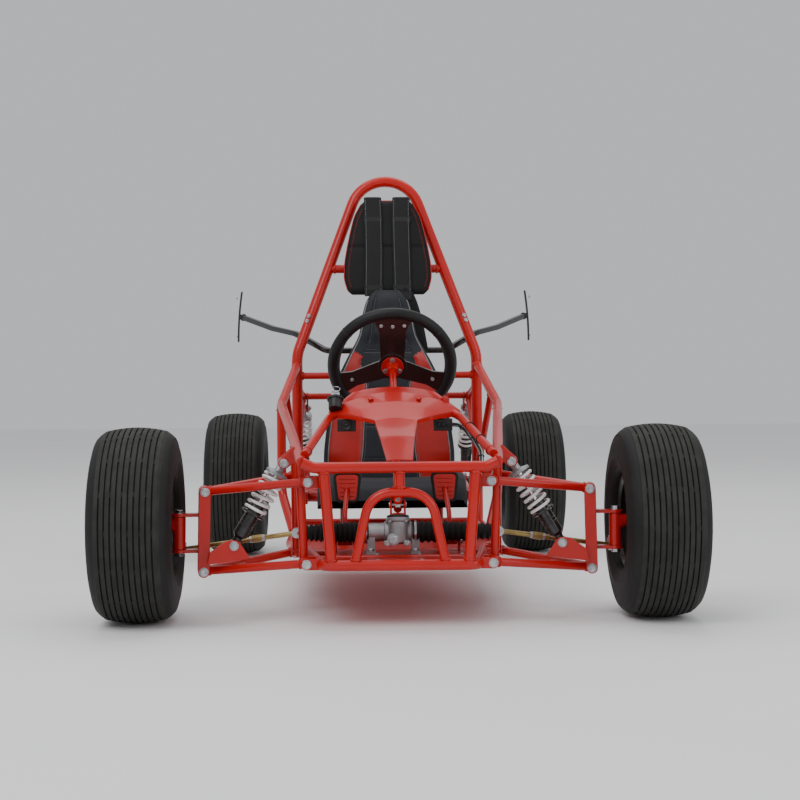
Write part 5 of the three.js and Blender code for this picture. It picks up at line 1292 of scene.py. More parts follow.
def steering_shafts():
    u, v, w = column_frame()
    shaft_dir = (UPPER_JOINT - LOWER_JOINT).normalized()
    s = Shape()
    s.rod(UPPER_JOINT + w * 0.022, HUB - w * 0.006, 0.018)
    s.lathe([(0, -0.0070), (0.0280, -0.0070), (0.0290, -0.0062), (0.0290, -0.0038), (0.0280, -0.0032),
             (0, -0.0032)], HUB, w, 48)
    s.lathe([(0, -0.030), (0.0125, -0.030), (0.014, -0.027), (0.014, -0.012), (0.0175, -0.0068),
             (0, -0.0068)], HUB, w, 36)
    for k in range(3):
        a = math.radians(60 + 120 * k)
        spot = HUB + (u * math.sin(a + math.pi) + v * math.cos(a + math.pi)) * 0.0215
        s.bolt(spot - w * 0.0068, -w, 1, 0.011, 0.005)
    yoke(s, UPPER_JOINT, -w, X)
    s.bake("column_tube", "steering_column", use("red", "zinc"), ["steering_column"])
    s = Shape()
    s.rod(LOWER_JOINT + shaft_dir * 0.022, UPPER_JOINT - shaft_dir * 0.022, 0.018)
    across = shaft_dir.cross(X).normalized()
    yoke(s, UPPER_JOINT, shaft_dir, across)
    yoke(s, LOWER_JOINT, -shaft_dir, across)
    for joint in (LOWER_JOINT, UPPER_JOINT):
        s.block(joint - Vector((0.006, 0.006, 0.006)), joint + Vector((0.006, 0.006, 0.006)), 1)
    s.bake("middle_shaft", "steering_shaft", use("red", "zinc"), ["steering_shaft"], 0.0005)
    s = Shape()
    foot = RACK + Y * -0.018
    s.rod(foot + PINION_DIR * 0.012, LOWER_JOINT - PINION_DIR * 0.022, 0.017)
    yoke(s, LOWER_JOINT, PINION_DIR, X)
    s.bake("pinion_stub", "pinion_shaft", use("red", "zinc"), ["pinion_shaft"], 0.0005)


def rack():
    s = Shape()
    left, right = 0.051, -0.086
    s.lathe([(0.0100, right), (0.0205, right), (0.0220, right + 0.0015), (0.0220, -0.034), (0.0255, -0.031),
             (0.0255, 0.031), (0.0220, 0.034), (0.0220, left - 0.0015), (0.0205, left), (0.0100, left)],
             RACK, X, 40)
    foot = RACK + Y * -0.018
    s.lathe([(0.0092, -0.026), (0.0220, -0.026), (0.0240, -0.023), (0.0240, 0.024), (0.0285, 0.026),
             (0.0290, 0.0275),
             (0.0290, 0.0335), (0.0280, 0.0345), (0.0092, 0.0345)], foot, PINION_DIR, 44)
    s.lathe([(0.0095, 0.0340), (0.0265, 0.0340), (0.0265, 0.0395), (0.0245, 0.0410), (0.0150, 0.0425),
             (0.0095, 0.0425)],
            foot, PINION_DIR, 44, 2)
    u = X
    v = PINION_DIR.cross(X)
    for k in range(4):
        a = math.radians(45 + 90 * k)
        spot = foot + (u * math.cos(a) + v * math.sin(a)) * 0.0262 + PINION_DIR * 0.0265
        s.bolt(spot, -PINION_DIR, 1, 0.007, 0.004)
    for x in (-64, 41):
        low, high = mm(x - 11, RACK_Y - 33, 152.3), mm(x + 11, RACK_Y + 33, 160)
        s.block(low, high)
        s.block(mm(x - 9, RACK_Y - 19, 158), mm(x + 9, RACK_Y + 19, 203))
        for end in (1, -1):
            s.bolt(mm(x, RACK_Y + end * 26, 160), Z, 1, 0.013, 0.006)
    s.bolt(RACK + mm(-12, -46, -14), -Y, 1, 0.020, 0.008)
    s.lathe([(0, 0), (0.015, 0), (0.015, 0.022), (0, 0.022)], RACK + mm(-12, -45, -14), Y, 30)
    for x in (-26, 20):
        s.block(mm(x - 8, -737, 176), mm(x + 8, -722, 186))
        s.bolt(mm(x, -738, 181), -Y, 1, 0.010, 0.005)
    s.bake("rack_casting", "chassis", use("cast", "zinc", "plastic"), ["rack_housing"],
           0.0010)
    s = Shape()
    s.rod(RACK - X * 0.226, RACK + X * 0.226, 0.0178)
    for name, side in SIDES:
        foot = RACK + X * side * 0.241
        for end in (1, -1):
            tip = [(0.0115 * math.cos(math.radians(d)), 0.0115 * math.sin(math.radians(d)))
                   for d in range(-90, 91, 15)]
            outline = [(-0.014, -0.0115)] + tip + [(-0.014, 0.0115)]
            s.plate(outline, foot + Y * end * 0.0092, X * side, Z, 0.0042)
        s.lathe([(0, -0.018), (0.0095, -0.018), (0.0118, -0.014), (0.0118, -0.010), (0, -0.010)], foot,
                X * side, 28)
        s.rod(foot - Y * 0.0135, foot + Y * 0.0135, 0.0066, 0, 14)
    s.bake("rack_rod", "rack_bar", use("zinc"), ["rack_bar"], 0.0004)
    for side, start, name in ((1, left, "left"), (-1, -right, "right")):
        bellows(name, side, start)


def bellows(name, side, start):
    end = 0.247 - 0.020
    s = Shape()
    folds = 12
    profile = [(0.0224, start - 0.016), (0.0250, start - 0.016), (0.0262, start - 0.010),
               (0.0262, start - 0.004)]
    span = end - start - 0.004
    for k in range(folds * 4 + 1):
        t = k / (folds * 4)
        taper = 0.0050 * t * t * 1.6
        wave = (0.5 - 0.5 * math.cos(2 * math.pi * folds * t)) ** 0.8
        profile.append((0.0212 + 0.0058 * wave - taper, start + span * t))
    profile += [(0.0118, end + 0.002), (0.0118, end + 0.013), (0.0094, end + 0.013), (0.0094, end + 0.001),
                (0.0160, end - 0.004), (0.0190, start + 0.004), (0.0224, start)]
    s.lathe(profile, RACK, X * side, 48)
    s.lathe([(0.0262, start - 0.0125), (0.0272, start - 0.0125), (0.0272, start - 0.0075),
             (0.0262, start - 0.0075)],
            RACK, X * side, 48, 1)
    s.lathe([(0.0118, end + 0.005), (0.0126, end + 0.005), (0.0126, end + 0.009), (0.0118, end + 0.009)],
            RACK, X * side, 32, 1)
    piece = s.bake(f"rack_bellows_{name}", None, use("rubber", "zinc"),
                   [f"bellows_{name}"], sharp=60)
    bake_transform(piece)


def tie_rod(name, side):
    foot = mirrored(mm(241, RACK_Y, 203), side)
    head = mirrored(mm(515, -660, 163), side)
    along = (head - foot).normalized()
    s = Shape()
    s.rod(foot + along * 0.012, head, 0.0118)
    s.rod(foot.lerp(head, 0.30), foot.lerp(head, 0.38), 0.019, 0, 6)
    for share in (0.285, 0.395):
        s.rod(foot.lerp(head, share - 0.012), foot.lerp(head, share + 0.012), 0.0165, 1, 6)
    s.lathe([(0.0036, -0.0062), (0.0070, -0.0062), (0.0075, -0.005), (0.0075, 0.005), (0.0070, 0.0062),
             (0.0036, 0.0062)],
            foot, Y, 24, 1)
    s.rod(foot + along * 0.006, foot + along * 0.028, 0.0105, 1, 16)
    s.lathe([(0, -0.006), (0.0105, -0.006), (0.0120, -0.004), (0.0120, 0.004), (0.0105, 0.006),
             (0, 0.006)], head, Z, 30)
    s.bolt(head - Z * 0.0058, -Z, 1, 0.014)
    s.lathe([(0, 0.0055), (0.0095, 0.0058), (0.0080, 0.0066), (0, 0.0068)], head, Z, 24, 2)
    s.bake(f"steering_tie_rod_{name}", f"tie_rod_{name}", use("gold", "zinc", "rubber"),
           [f"tie_rod_{name}"])


class KART_OT_steering(Operator):
    """Builds the steering wheel, its jointed shafts, the rack and the tie rods"""
    bl_idname = "kart.steering"
    bl_label = "Steering"

    def execute(self, context):
        steering_wheel()
        steering_shafts()
        rack()
        for name, side in SIDES:
            tie_rod(name, side)
        return {"FINISHED"}


# ---- controls and cowl --------------------------------------------------------------------------

def key_switch():
    foot = mm(-148, -512, 492)
    axis = Vector((0, 0.55, 0.835)).normalized()
    s = Shape()
    s.lathe([(0, 0), (0.0160, 0), (0.0170, 0.0015), (0.0170, 0.026), (0.0195, 0.0265), (0.0200, 0.028),
             (0.0200, 0.0320),
             (0.0185, 0.0330), (0.0088, 0.0330), (0.0088, 0.018), (0, 0.018)], foot, axis, 48)
    for k in range(24):
        a = 2 * math.pi * k / 24
        u = axis.orthogonal().normalized()
        v = axis.cross(u)
        out = u * math.cos(a) + v * math.sin(a)
        s.rod(foot + axis * 0.0272 + out * 0.0198, foot + axis * 0.0318 + out * 0.0198, 0.0018, 0, 6)
    s.bake("key_switch_body", "chassis", use("plastic"), ["key_switch"])
    s = Shape()
    s.lathe([(0, 0.0185), (0.0078, 0.0185), (0.0078, 0.0330), (0.0070, 0.0338), (0, 0.0338)], foot, axis,
            32)
    u = X
    v = axis.cross(u).normalized()
    tip = [(0.011 * math.cos(math.radians(d)), 0.046 + 0.010 * math.sin(math.radians(d)))
           for d in range(-40, 221, 20)]
    s.plate([(-0.0045, 0.032), (0.0045, 0.032)] + tip, foot, u, axis, 0.0022)
    ring_at = foot + axis * 0.056
    ring = [ring_at + u * 0.012 * math.cos(a) + axis * (0.010 * math.sin(a) + 0.004) + v * 0.004 * math.sin(a)
            for a in [2 * math.pi * k / 30 for k in range(30)]]
    s.sweep(ring, circle(0.0016, 8), 0, True)
    s.bake("key_with_ring", "ignition_key", use("zinc"), ["ignition_key"], 0.0003)


def push_button():
    foot = mm(128, -474, 502)
    s = Shape()
    s.lathe([(0, 0.008), (0.0069, 0.008), (0.0069, 0.0200), (0.0060, 0.0216), (0.0030, 0.0220),
             (0, 0.0221)], foot, Z, 36)
    s.bake("start_button", "push_button", use("vinyl"), ["push_button"])


def dash_box(name, side):
    low, high = mm(97, -522, 437), mm(143, -492, 467)
    s = Shape()
    a, b = mirrored(low, side), mirrored(high, side)
    s.block(Vector((min(a.x, b.x), a.y, a.z)), Vector((max(a.x, b.x), b.y, b.z)))
    a, b = mirrored(mm(108, -504, 463), side), mirrored(mm(116, -484, 481.5), side)
    s.block(Vector((min(a.x, b.x), a.y, a.z)), Vector((max(a.x, b.x), b.y, b.z)))
    face = mirrored(mm(120, -522, 452), side)
    if name == "horn":
        s.lathe([(0, -0.001), (0.0128, -0.001), (0.0128, 0.004), (0.0110, 0.0055), (0.0050, 0.0035),
                 (0, 0.0055)], face, -Y, 36)
    else:
        for x in (-12, 0, 12):
            s.block(face + mm(x - 4, -5, -6), face + mm(x + 4, 1, 6))
    s.bake(f"{name}_case", "chassis", use("plastic"), [name], 0.0018)


def loom():
    """Wires in a bundle from the relay box down the side tube to the pan, tied at intervals."""
    line = [(144, -508, 452), (158, -508, 451), (173, -560, 440), (185, -640, 420), (196, -735, 395),
            (195, -772, 355),
            (182, -778, 290), (165, -774, 215), (165, -774, 154)]
    path = filleted([mm(*p) for p in line], [0.006, 0.020, 0.03, 0.03, 0.02, 0.03, 0.03])
    fine = []
    for a, b in zip(path, path[1:]):
        steps = max(1, int((b - a).length / 0.006))
        fine += [a.lerp(b, k / steps) for k in range(steps)]
    fine.append(path[-1])
    s = Shape()
    wires = ((0, 0.0046, 0), (1, 0.0030, 0), (2, 0.0026, 1), (3, 0.0032, 0), (4, 0.0026, 2),
             (5, 0.0028, 0), (6, 0.0026, 1))
    side = Vector((0, 0, 1))
    frames = []
    for i, point in enumerate(fine):
        tangent = (fine[min(i + 1, len(fine) - 1)] - fine[max(i - 1, 0)]).normalized()
        side = (side - tangent * side.dot(tangent)).normalized()
        frames.append((point, side.copy(), tangent.cross(side), tangent))
    for number, dia, paint in wires:
        run = []
        for i, (point, a, b, tangent) in enumerate(frames):
            turn = 2 * math.pi * number / 6 + i * 0.035
            reach = 0 if number == 0 else 0.0042 * (1 + 0.12 * math.sin(i * 0.21 + number * 1.7))
            run.append(point + (a * math.cos(turn) + b * math.sin(turn)) * reach)
        s.sweep(run, circle(dia, 8), paint)
    for i in range(14, len(frames), 20):
        point, a, b, tangent = frames[i]
        loop = [point + (a * math.cos(t) + b * math.sin(t)) * 0.0060
                for t in [2 * math.pi * k / 18 for k in range(18)]]
        s.sweep(loop, circle(0.0022, 6), 0, True)
    s.bake("wire_bundle", "chassis", use("plastic", "wire grey", "wire pale"),
           ["wiring_loom"])


def pedal(node, side):
    pivot = joint_at(f"{node}_pivot")
    s = Shape()
    s.lathe([(0.0044, -0.018), (0.0080, -0.018), (0.0090, -0.0165), (0.0090, 0.0165), (0.0080, 0.018),
             (0.0044, 0.018)],
            pivot, X, 30)
    line = [pivot, mirrored(mm(126, -639, 240), side), mirrored(mm(120, -560, 300), side)]
    s.tube(line, 0.035, 0.0118)
    s.bead(line[2] + (line[1] - line[2]).normalized() * 0.008, (line[1] - line[2]).normalized(), 0.0118)
    lean = 0.30
    up = Vector((0, math.sin(lean), math.cos(lean)))
    face = X.cross(up).normalized()
    if face.y > 0:
        face = -face
    middle_at = mirrored(mm(120, -562, 300), side)

    def outline(scale, r=0.010):
        top, low, h = 0.032 * scale, 0.026 * scale, 0.0368 * scale
        pts = []
        for cx, cy, start in ((1, 1, 0), (-1, 1, 90), (-1, -1, 180), (1, -1, 270)):
            w = top if cy > 0 else low
            for d in (0, 30, 60, 90):
                a = math.radians(start + d)
                pts.append((cx * (w - r) + r * math.cos(a), cy * (h - r) + r * math.sin(a)))
        return pts

    s.plate(outline(0.88), middle_at, X, up, 0.0050)
    rim_line = [middle_at + X * a + up * b for a, b in outline(0.96)]
    s.sweep(rim_line, circle(0.0085, 10), 1, True, side=face)
    for k in range(5):
        z = (-0.022 + 0.011 * k)
        s.rod(middle_at + face * 0.0030 + up * z - X * 0.019,
              middle_at + face * 0.0030 + up * z + X * 0.019, 0.0026, 0, 8)
    s.bake(f"{node}_lever", node, use("red", "rubber"), [node], 0.0005)


class KART_OT_controls(Operator):
    """Builds the dash cowl, its switches and loom, and the two pedals"""
    bl_idname = "kart.controls"
    bl_label = "Cowl and controls"

    def execute(self, context):
        cowl()
        fender_bar()
        key_switch()
        push_button()
        dash_box("relay_box", 1)
        dash_box("horn", -1)
        loom()
        pedal("brake_pedal", 1)
        pedal("throttle_pedal", -1)
        return {"FINISHED"}


# ---- seat, back pad and harness -----------------------------------------------------------------

def crease(distance, width):
    """How deep a sewn line pulls the cover in, from 0 away from it to 1 on it."""
    return math.exp(-(distance / width) ** 2)


def superellipse(count, power):
    """Points round a rounded rectangle from -1 to 1 on both axes."""
    out = []
    for k in range(count):
        a = 2 * math.pi * k / count
        c, s = math.cos(a), math.sin(a)
        out.append((math.copysign(abs(c) ** (2 / power), c), math.copysign(abs(s) ** (2 / power), s)))
    return out


BASE_TOPS = (262, 292, 298, 288, 272, 264, 264)
BASE_SEAMS = (0.10, 0.62, 0.80)


def base_top(u, t):
    """The top of the seat's base: u from -1 to 1 across it, t from 0 at the front to 1 at the back."""
    bolster = 22 * abs(u) ** 3 * math.sin(math.pi * min(t * 1.4, 1))
    z = table(BASE_TOPS, t) * 0.5 + table(BASE_TOPS, smooth(0, 1, t) * 0.15 + t * 0.85) * 0.5 + bolster
    z -= 4.5 * crease((abs(u) - 0.66) * 200, 5) * smooth(0.05, 0.15, t)
    for seam in BASE_SEAMS[1:]:
        if abs(u) < 0.66:
            z -= 4 * crease((t - seam) * 305, 5)
    z -= 17 * max(0, (abs(u) - 0.86) / 0.14) ** 2.2
    z -= 22 * max(0, (0.09 - t) / 0.09) ** 2
    return mm(u * 200, -255 + t * 305, z)


def seat_base():
    rings = []
    rows, across = 72, 76
    for i in range(rows + 1):
        t = i / rows
        top = [base_top(-1 + 2 * k / across, t) for k in range(across + 1)]
        round_front = 12 * max(0, (0.05 - t) / 0.05) ** 2
        low = [mm(u * (200 - round_front), -255 + t * 305, 226 + round_front + 5 * abs(u) ** 8)
               for u in [1 - 2 * k / 16 for k in range(17)]]
        for end in (0, -1):
            top[end].x *= 0.998
        rings.append(top + low)

    def paint(i, a):
        if a >= across:
            return 2
        u = -1 + 2 * (a + 0.5) / across
        return 1 if abs(u) > 0.66 and i > rows * 0.42 else 0

    s = Shape()
    loft(s, rings, paint)
    cushion = s.bake("seat_cushion", "chassis", use("cloth", "vinyl", "plastic"),
                     ["seat_base"], sharp=70)
    s = Shape()
    for side in (1, -1):
        line = [base_top(side * 0.66, 0.12 + 0.86 * k / 60) + mm(0, 0, 1.5) for k in range(61)]
        s.sweep(line, circle(0.0032, 8))
        for offset in (-0.030, 0.030):
            stitch_row(s, [base_top(side * 0.66 + offset, 0.12 + 0.86 * k / 60) for k in range(61)], Z)
    for seam in BASE_SEAMS[1:]:
        for offset in (-0.016, 0.016):
            stitch_row(s, [base_top(-0.62 + 1.24 * k / 60, seam + offset) for k in range(61)], Z)
    s.bake("seat_cushion_piping", "chassis", use("piping"))


def stitch_row(s, line, up, every=0.0052, dia=0.0009):
    """Thread stitches laid along a line, standing a little proud of the cover."""
    walked, start = 0.0, None
    for a, b in zip(line, line[1:]):
        walked += (b - a).length
        if start is None:
            start = a
        if walked >= every:
            s.rod(start + up * 0.0006, start.lerp(b, 0.66) + up * 0.0006, dia, 0, 5)
            start, walked = b, 0.0


BACK_HALF = (178, 188, 186, 178, 166, 150, 118, 82, 72, 52)
BACK_LOW, BACK_HIGH = 233, 825


def back_half(t):
    """Half the width of the seat's back, in millimetres, at t from 0 at its foot to 1 at its top."""
    width = (table(BACK_HALF, t - 0.03) + table(BACK_HALF, t) * 2 + table(BACK_HALF, t + 0.03)) / 4
    crown = max(0, (t - 0.93) / 0.07)
    return width * math.sqrt(max(0.02, 1 - 0.55 * crown * crown))


def back_front(u, t):
    """The front of the seat's back."""
    z = BACK_LOW + (BACK_HIGH - BACK_LOW) * t
    y = 50.3 + (z - BACK_LOW) * math.tan(math.radians(9))
    wing = 34 * abs(u) ** 3 * smooth(0.08, 0.22, t) * (1 - smooth(0.62, 0.76, t))
    puff = 5 * (1 - (u / 0.4) ** 2) if abs(u) < 0.4 else 0
    y -= wing + puff * 0.8
    if t < 0.66:
        y += 5 * crease((abs(u) - centre_edge(t)) * back_half(t), 5)
    for seam in (0.17, 0.34, 0.51, 0.70):
        if abs(u) < centre_edge(t):
            y += 3.5 * crease((t - seam) * 592, 5)
    if t > 0.70:
        y -= 14 * smooth(0.72, 0.80, t) * (1 - smooth(0.94, 1.0, t)) * (1 - abs(u) ** 3)
        y += 5 * crease((abs(u) - 0.58) * back_half(t), 5) * smooth(0.72, 0.78, t)
    y += 16 * max(0, (abs(u) - 0.88) / 0.12) ** 2.2
    y += 16 * max(0, (t - 0.965) / 0.035) ** 2
    return mm(u * back_half(t), y, z)


def centre_edge(t):
    """How far out the dark middle of the seat's back reaches, as a share of its half width."""
    return 0.40 + 0.10 * smooth(0.25, 0.0, t) + 0.24 * smooth(0.52, 0.66, t)


def seat_back():
    rows, across = 120, 76
    rings = []
    for i in range(rows + 1):
        t = i / rows
        front = [back_front(-1 + 2 * k / across, t) for k in range(across + 1)]
        z = BACK_LOW + (BACK_HIGH - BACK_LOW) * t
        y = 50.3 + (z - BACK_LOW) * math.tan(math.radians(9))
        squeeze = 12 * max(0, (t - 0.965) / 0.035) ** 2
        behind = []
        for k in range(25):
            u = 1 - 2 * k / 24
            behind.append(mm(u * back_half(t) * 0.99,
                             y + 58 * (1 - 0.25 * u * u) - 10 * abs(u) ** 6 - squeeze, z))
        rings.append(front + behind)

    def paint(i, a):
        if a >= across:
            return 2
        u = abs(-1 + 2 * (a + 0.5) / across)
        t = (i + 0.5) / rows
        if u > 0.93:
            return 2
        red_top = 0.655 + 0.10 * (u - 0.45)
        return 1 if u > centre_edge(t) and t < red_top else 0

    s = Shape()
    loft(s, rings, paint)
    back = s.bake("seat_backrest", "chassis", use("cloth", "vinyl", "leather"),
                  ["seat_back"], sharp=70)
    s = Shape()
    for side in (1, -1):
        inner = [back_front(side * centre_edge(t), t) - mm(0, 1.8, 0)
                 for t in [0.03 + 0.60 * k / 80 for k in range(81)]]
        s.sweep(inner, circle(0.0030, 8))
        outer = [back_front(side * 0.93, t) - mm(0, 1.2, 0)
                 for t in [0.03 + 0.92 * k / 120 for k in range(121)]]
        s.sweep(outer, circle(0.0030, 8))
        lobe = [back_front(side * 0.58, t) - mm(0, 1.0, 0)
                for t in [0.74 + 0.22 * k / 50 for k in range(51)]]
        stitch_row(s, lobe, -Y)
        for offset in (-0.035, 0.035):
            stitch_row(s, [back_front(side * (centre_edge(t) + offset), t)
                           for t in [0.05 + 0.56 * k / 120 for k in range(121)]], -Y)
    for seam in (0.17, 0.34, 0.51, 0.70):
        for offset in (-0.008, 0.008):
            reach = centre_edge(seam) - 0.02
            stitch_row(s, [back_front(-reach + 2 * reach * k / 60, seam + offset) for k in range(61)], -Y)
    s.bake("seat_back_piping", "chassis", use("piping"))


PAD_HALF = (116, 130, 128, 120, 110, 98, 72)
PAD_LOW, PAD_HIGH, PAD_X = 816, 1098, 4


def pad_y(z):
    """The front of the back pad before it is crowned, in millimetres."""
    return 243 + (z - 640) * 0.18534 - 63


def pad_half(t):
    corner = max(0, (t - 0.94) / 0.06)
    foot = max(0, (0.06 - t) / 0.06)
    width = (table(PAD_HALF, t - 0.04) + 2 * table(PAD_HALF, t) + table(PAD_HALF, t + 0.04)) / 4
    return width * (1 - 0.10 * corner * corner) * (1 - 0.10 * foot * foot)


def back_pad():
    rows, count = 84, 88
    rings = []
    outline = superellipse(count, 5)
    for i in range(rows + 1):
        t = i / rows
        z = PAD_LOW + (PAD_HIGH - PAD_LOW) * t
        edge = 1 - max(0, abs(2 * t - 1) - 0.86) / 0.14
        thin = 0.30 + 0.70 * math.sqrt(max(0, 1 - (1 - edge) ** 2))
        ring = []
        for a, b in outline:
            crown = 3.5 * (1 - a * a) * (1 - (2 * t - 1) ** 4)
            pull = 3.2 * crease((t - 0.5) * 282, 6) * (1 if b < 0 else 0)
            ripple = 0.8 * noise.noise(Vector((a * 2.2, t * 6, 3.1))) if b < 0 else 0
            y = pad_y(z) + 23 + b * 21 * thin - (crown if b < 0 else -crown * 0.3) + (pull + ripple
                if b < 0 else 0)
            ring.append(mm(PAD_X + a * pad_half(t), y, z))
        rings.append(ring)
    s = Shape()
    loft(s, rings)
    pad = s.bake("shoulder_pad", "chassis", use("pad"), ["back_pad"], sharp=70)
    s = Shape()
    for side in (1, -1):
        line = []
        for k in range(91):
            t = 0.04 + 0.92 * k / 90
            z = PAD_LOW + (PAD_HIGH - PAD_LOW) * t
            line.append(mm(PAD_X + side * (pad_half(t) - 0.5), pad_y(z) + 8.5, z))
        s.sweep(line, circle(0.0030, 8), 0)
    top = [mm(PAD_X + u * 62, pad_y(PAD_HIGH) + 16, PAD_HIGH - 1.0)
           for u in [-1 + 2 * k / 30 for k in range(31)]]
    s.sweep(top, circle(0.0030, 8), 0)
    for side in (1, -1):
        for inset in (12, 15):
            line = []
            for k in range(121):
                t = 0.08 + 0.84 * k / 120
                z = PAD_LOW + (PAD_HIGH - PAD_LOW) * t
                line.append(mm(PAD_X + side * (pad_half(t) - inset), pad_y(z) + 2.6, z))
            stitch_row(s, line, -Y, 0.0050, 0.0008)
    low, high = mm(PAD_X - 24, pad_y(PAD_HIGH) + 18, PAD_HIGH - 2), mm(PAD_X + 22, pad_y(PAD_HIGH) + 32,
        PAD_HIGH + 2.2)
    s.block(low, high)
    s.bake("shoulder_pad_piping", "chassis", use("vinyl"), [], 0.0006)


def strap(s, line, half, thick, face, paint=0):
    """A flat belt along a line: slightly crowned across, and thinner at its edges."""
    rings = []
    for i, point in enumerate(line):
        tangent = (line[min(i + 1, len(line) - 1)] - line[max(i - 1, 0)]).normalized()
        side = face.cross(tangent).normalized()
        out = tangent.cross(side).normalized()
        if out.dot(face) < 0:
            out = -out
        ring = []
        for k in range(13):
            u = -1 + 2 * k / 12
            puff = thick / 2 * (1 - 0.65 * abs(u) ** 6)
            ring.append(point + side * u * half + out * puff)
        for k in range(13):
            u = 1 - 2 * k / 12
            ring.append(point + side * u * half - out * thick / 2 * (1 - 0.3 * abs(u) ** 6))
        rings.append(ring)
    loft(s, rings, lambda i, a: paint)
    return rings


def harness():
    s = Shape()
    thread = Shape()
    for side in (-1, 1):
        line = []
        for k in range(71):
            t = k / 70
            z = (PAD_LOW - 6) + (PAD_HIGH + 4 - PAD_LOW + 6) * t
            x = PAD_X + side * 42 + 1.2 * math.sin(t * 5 + side)
            line.append(mm(x, pad_y(z) - 4.2 - 1.2 * math.sin(math.pi * t), z))
        top = line[-1]
        for k in range(1, 15):
            a = math.pi / 2 * k / 14
            line.append(Vector((top.x, top.y + 0.006 - 0.006 * math.cos(a), top.z + 0.004 * math.sin(a))))
        behind = line[-1]
        for k in range(1, 12):
            line.append(Vector((top.x, behind.y + 0.038 * k / 11, behind.z)))
        strap(s, line, 0.026, 0.0052, -Y)
        for offset in (-0.0215, 0.0215):
            row = [p + mm(0, -2.9, 0) + X * offset for p in line[:71]]
            stitch_row(thread, row, -Y, 0.0045, 0.0008)
        for z in (836, 1040):
            y = pad_y(z) - 8.0
            s.block(mm(PAD_X + side * 42 - 27, y - 0.6, z - 7), mm(PAD_X + side * 42 + 27, y + 2.4, z + 7),
                    1)
    line = []
    for k in range(61):
        t = k / 60
        z = 822 + (640 - 822) * t
        x = PAD_X + 42 + (100 - 42) * math.sqrt(t)
        line.append(mm(x, pad_y(816) - 4 + 1.5 * math.sin(6 * t), z))
    strap(s, line, 0.019, 0.0034, -Y)
    s.block(mm(PAD_X + 46 - 23, pad_y(816) - 9, 800), mm(PAD_X + 46 + 23, pad_y(816) - 3, 822), 1)
    s.bake("shoulder_belts", "chassis", use("webbing", "plastic"), ["harness"], 0.0005)
    thread.bake("shoulder_belt_stitching", "chassis", use("wire grey"))


class KART_OT_seat(Operator):
    """Builds the padded seat, the shoulder pad and the belts"""
    bl_idname = "kart.seat"
    bl_label = "Seat and harness"

    def execute(self, context):
        seat_base()
        seat_back()
        back_pad()
        harness()
        return {"FINISHED"}


# ---- rear axle and swingarm ---------------------------------------------------------------------

def swingarm():
    s = Shape()
    pivot = joint_at("swingarm_pivot")
    s.lathe([(0.0068, -0.2375), (0.0140, -0.2375), (0.0150, -0.2360), (0.0150, 0.2360), (0.0140, 0.2375),
             (0.0068, 0.2375)],
            pivot, X, 32)
    for name, side in SIDES:
        s.tube([mirrored(mm(200, 285, 215), side), mirrored(mm(256, 395, 221), side),
                mirrored(mm(256, 700, 228.6), side)],
               0.060, 0.026)
        s.bead(mirrored(mm(207, 299, 215.8), side),
               (mirrored(mm(256, 395, 221), side) - mirrored(mm(200, 285, 215), side)).normalized(), 0.026)
        hub = joint_at("axle_spin")
        at = Vector((0.256 * side, hub.y, hub.z))
        outline = [(-0.034, -0.030), (0.030, -0.030), (0.030, 0.030), (-0.034, 0.030)]
        s.plate([(a * 0.999, b * 0.999) for a, b in outline], at, Y, Z, 0.004)
        s.lathe([(0.0153, -0.0139), (0.0270, -0.0139), (0.0280, -0.0128), (0.0280, 0.0128),
                 (0.0270, 0.0139), (0.0153, 0.0139)],
                at, X * side, 40)
        for k in range(4):
            a = math.radians(45 + 90 * k)
            s.bolt(at + (Y * math.cos(a) + Z * math.sin(a)) * 0.0335 + X * side * 0.002, X * side, 1,
                   0.010, 0.005)
        s.bead(at - Y * 0.034, Y, 0.026)
        foot = shock_foot(name, "rear")
        shock_ears(s, foot, Vector((foot.x, foot.y, hub.z - 0.013)), X)
    for y, z in ((400, 221), (595, 224.6)):
        s.rod(mm(-256, y, z), mm(256, y, z), 0.024)
        for side in (1, -1):
            s.bead(mm(242 * side, y, z), X, 0.024)
    r = 0.010
    plate_outline = []
    for cx, cy, start in ((0.150, 0.600, 0), (-0.150, 0.600, 90), (-0.150, 0.395, 180),
                          (0.150, 0.395, 270)):
        sx, sy = math.copysign(1, cx), (1 if cy > 0.5 else -1)
        for d in (0, 30, 60, 90):
            a = math.radians(start + d)
            plate_outline.append((cx - sx * r + r * math.cos(a), cy - sy * r + r * math.sin(a) - 0.4975))
    s.plate(plate_outline, mm(0, 497.5, 232), X, Y, 0.006)
    s.bake("swingarm_tubes", "swingarm", use("red", "zinc"), ["swingarm"], 0.0007)


def rear_axle():
    hub = joint_at("axle_spin")
    at = Vector((0, hub.y, hub.z))
    s = Shape()
    s.lathe([(0, -0.528), (0.0138, -0.528), (0.0150, -0.5265), (0.0150, 0.5265), (0.0138, 0.528),
             (0, 0.528)], at, X, 40)
    for side in (1, -1):
        s.lathe([(0.0150, 0.2705), (0.0172, 0.2705), (0.0180, 0.2715), (0.0180, 0.4207), (0.0172, 0.4217),
                 (0.0150, 0.4217)],
                at, X * side, 36, 1)
        s.bolt(at + X * side * 0.514, X * side, 0, 0.034, 0.012)
        s.bolt(at + X * side * 0.290 + Z * 0.018, Z, 0, 0.009, 0.004)
    sprocket(s, at + X * 0.120)
    brake_disc(s, at - X * 0.120)
    s.bake("live_axle", "rear_axle", use("zinc", "black", "chrome"), ["rear_axle"], 0.0004)


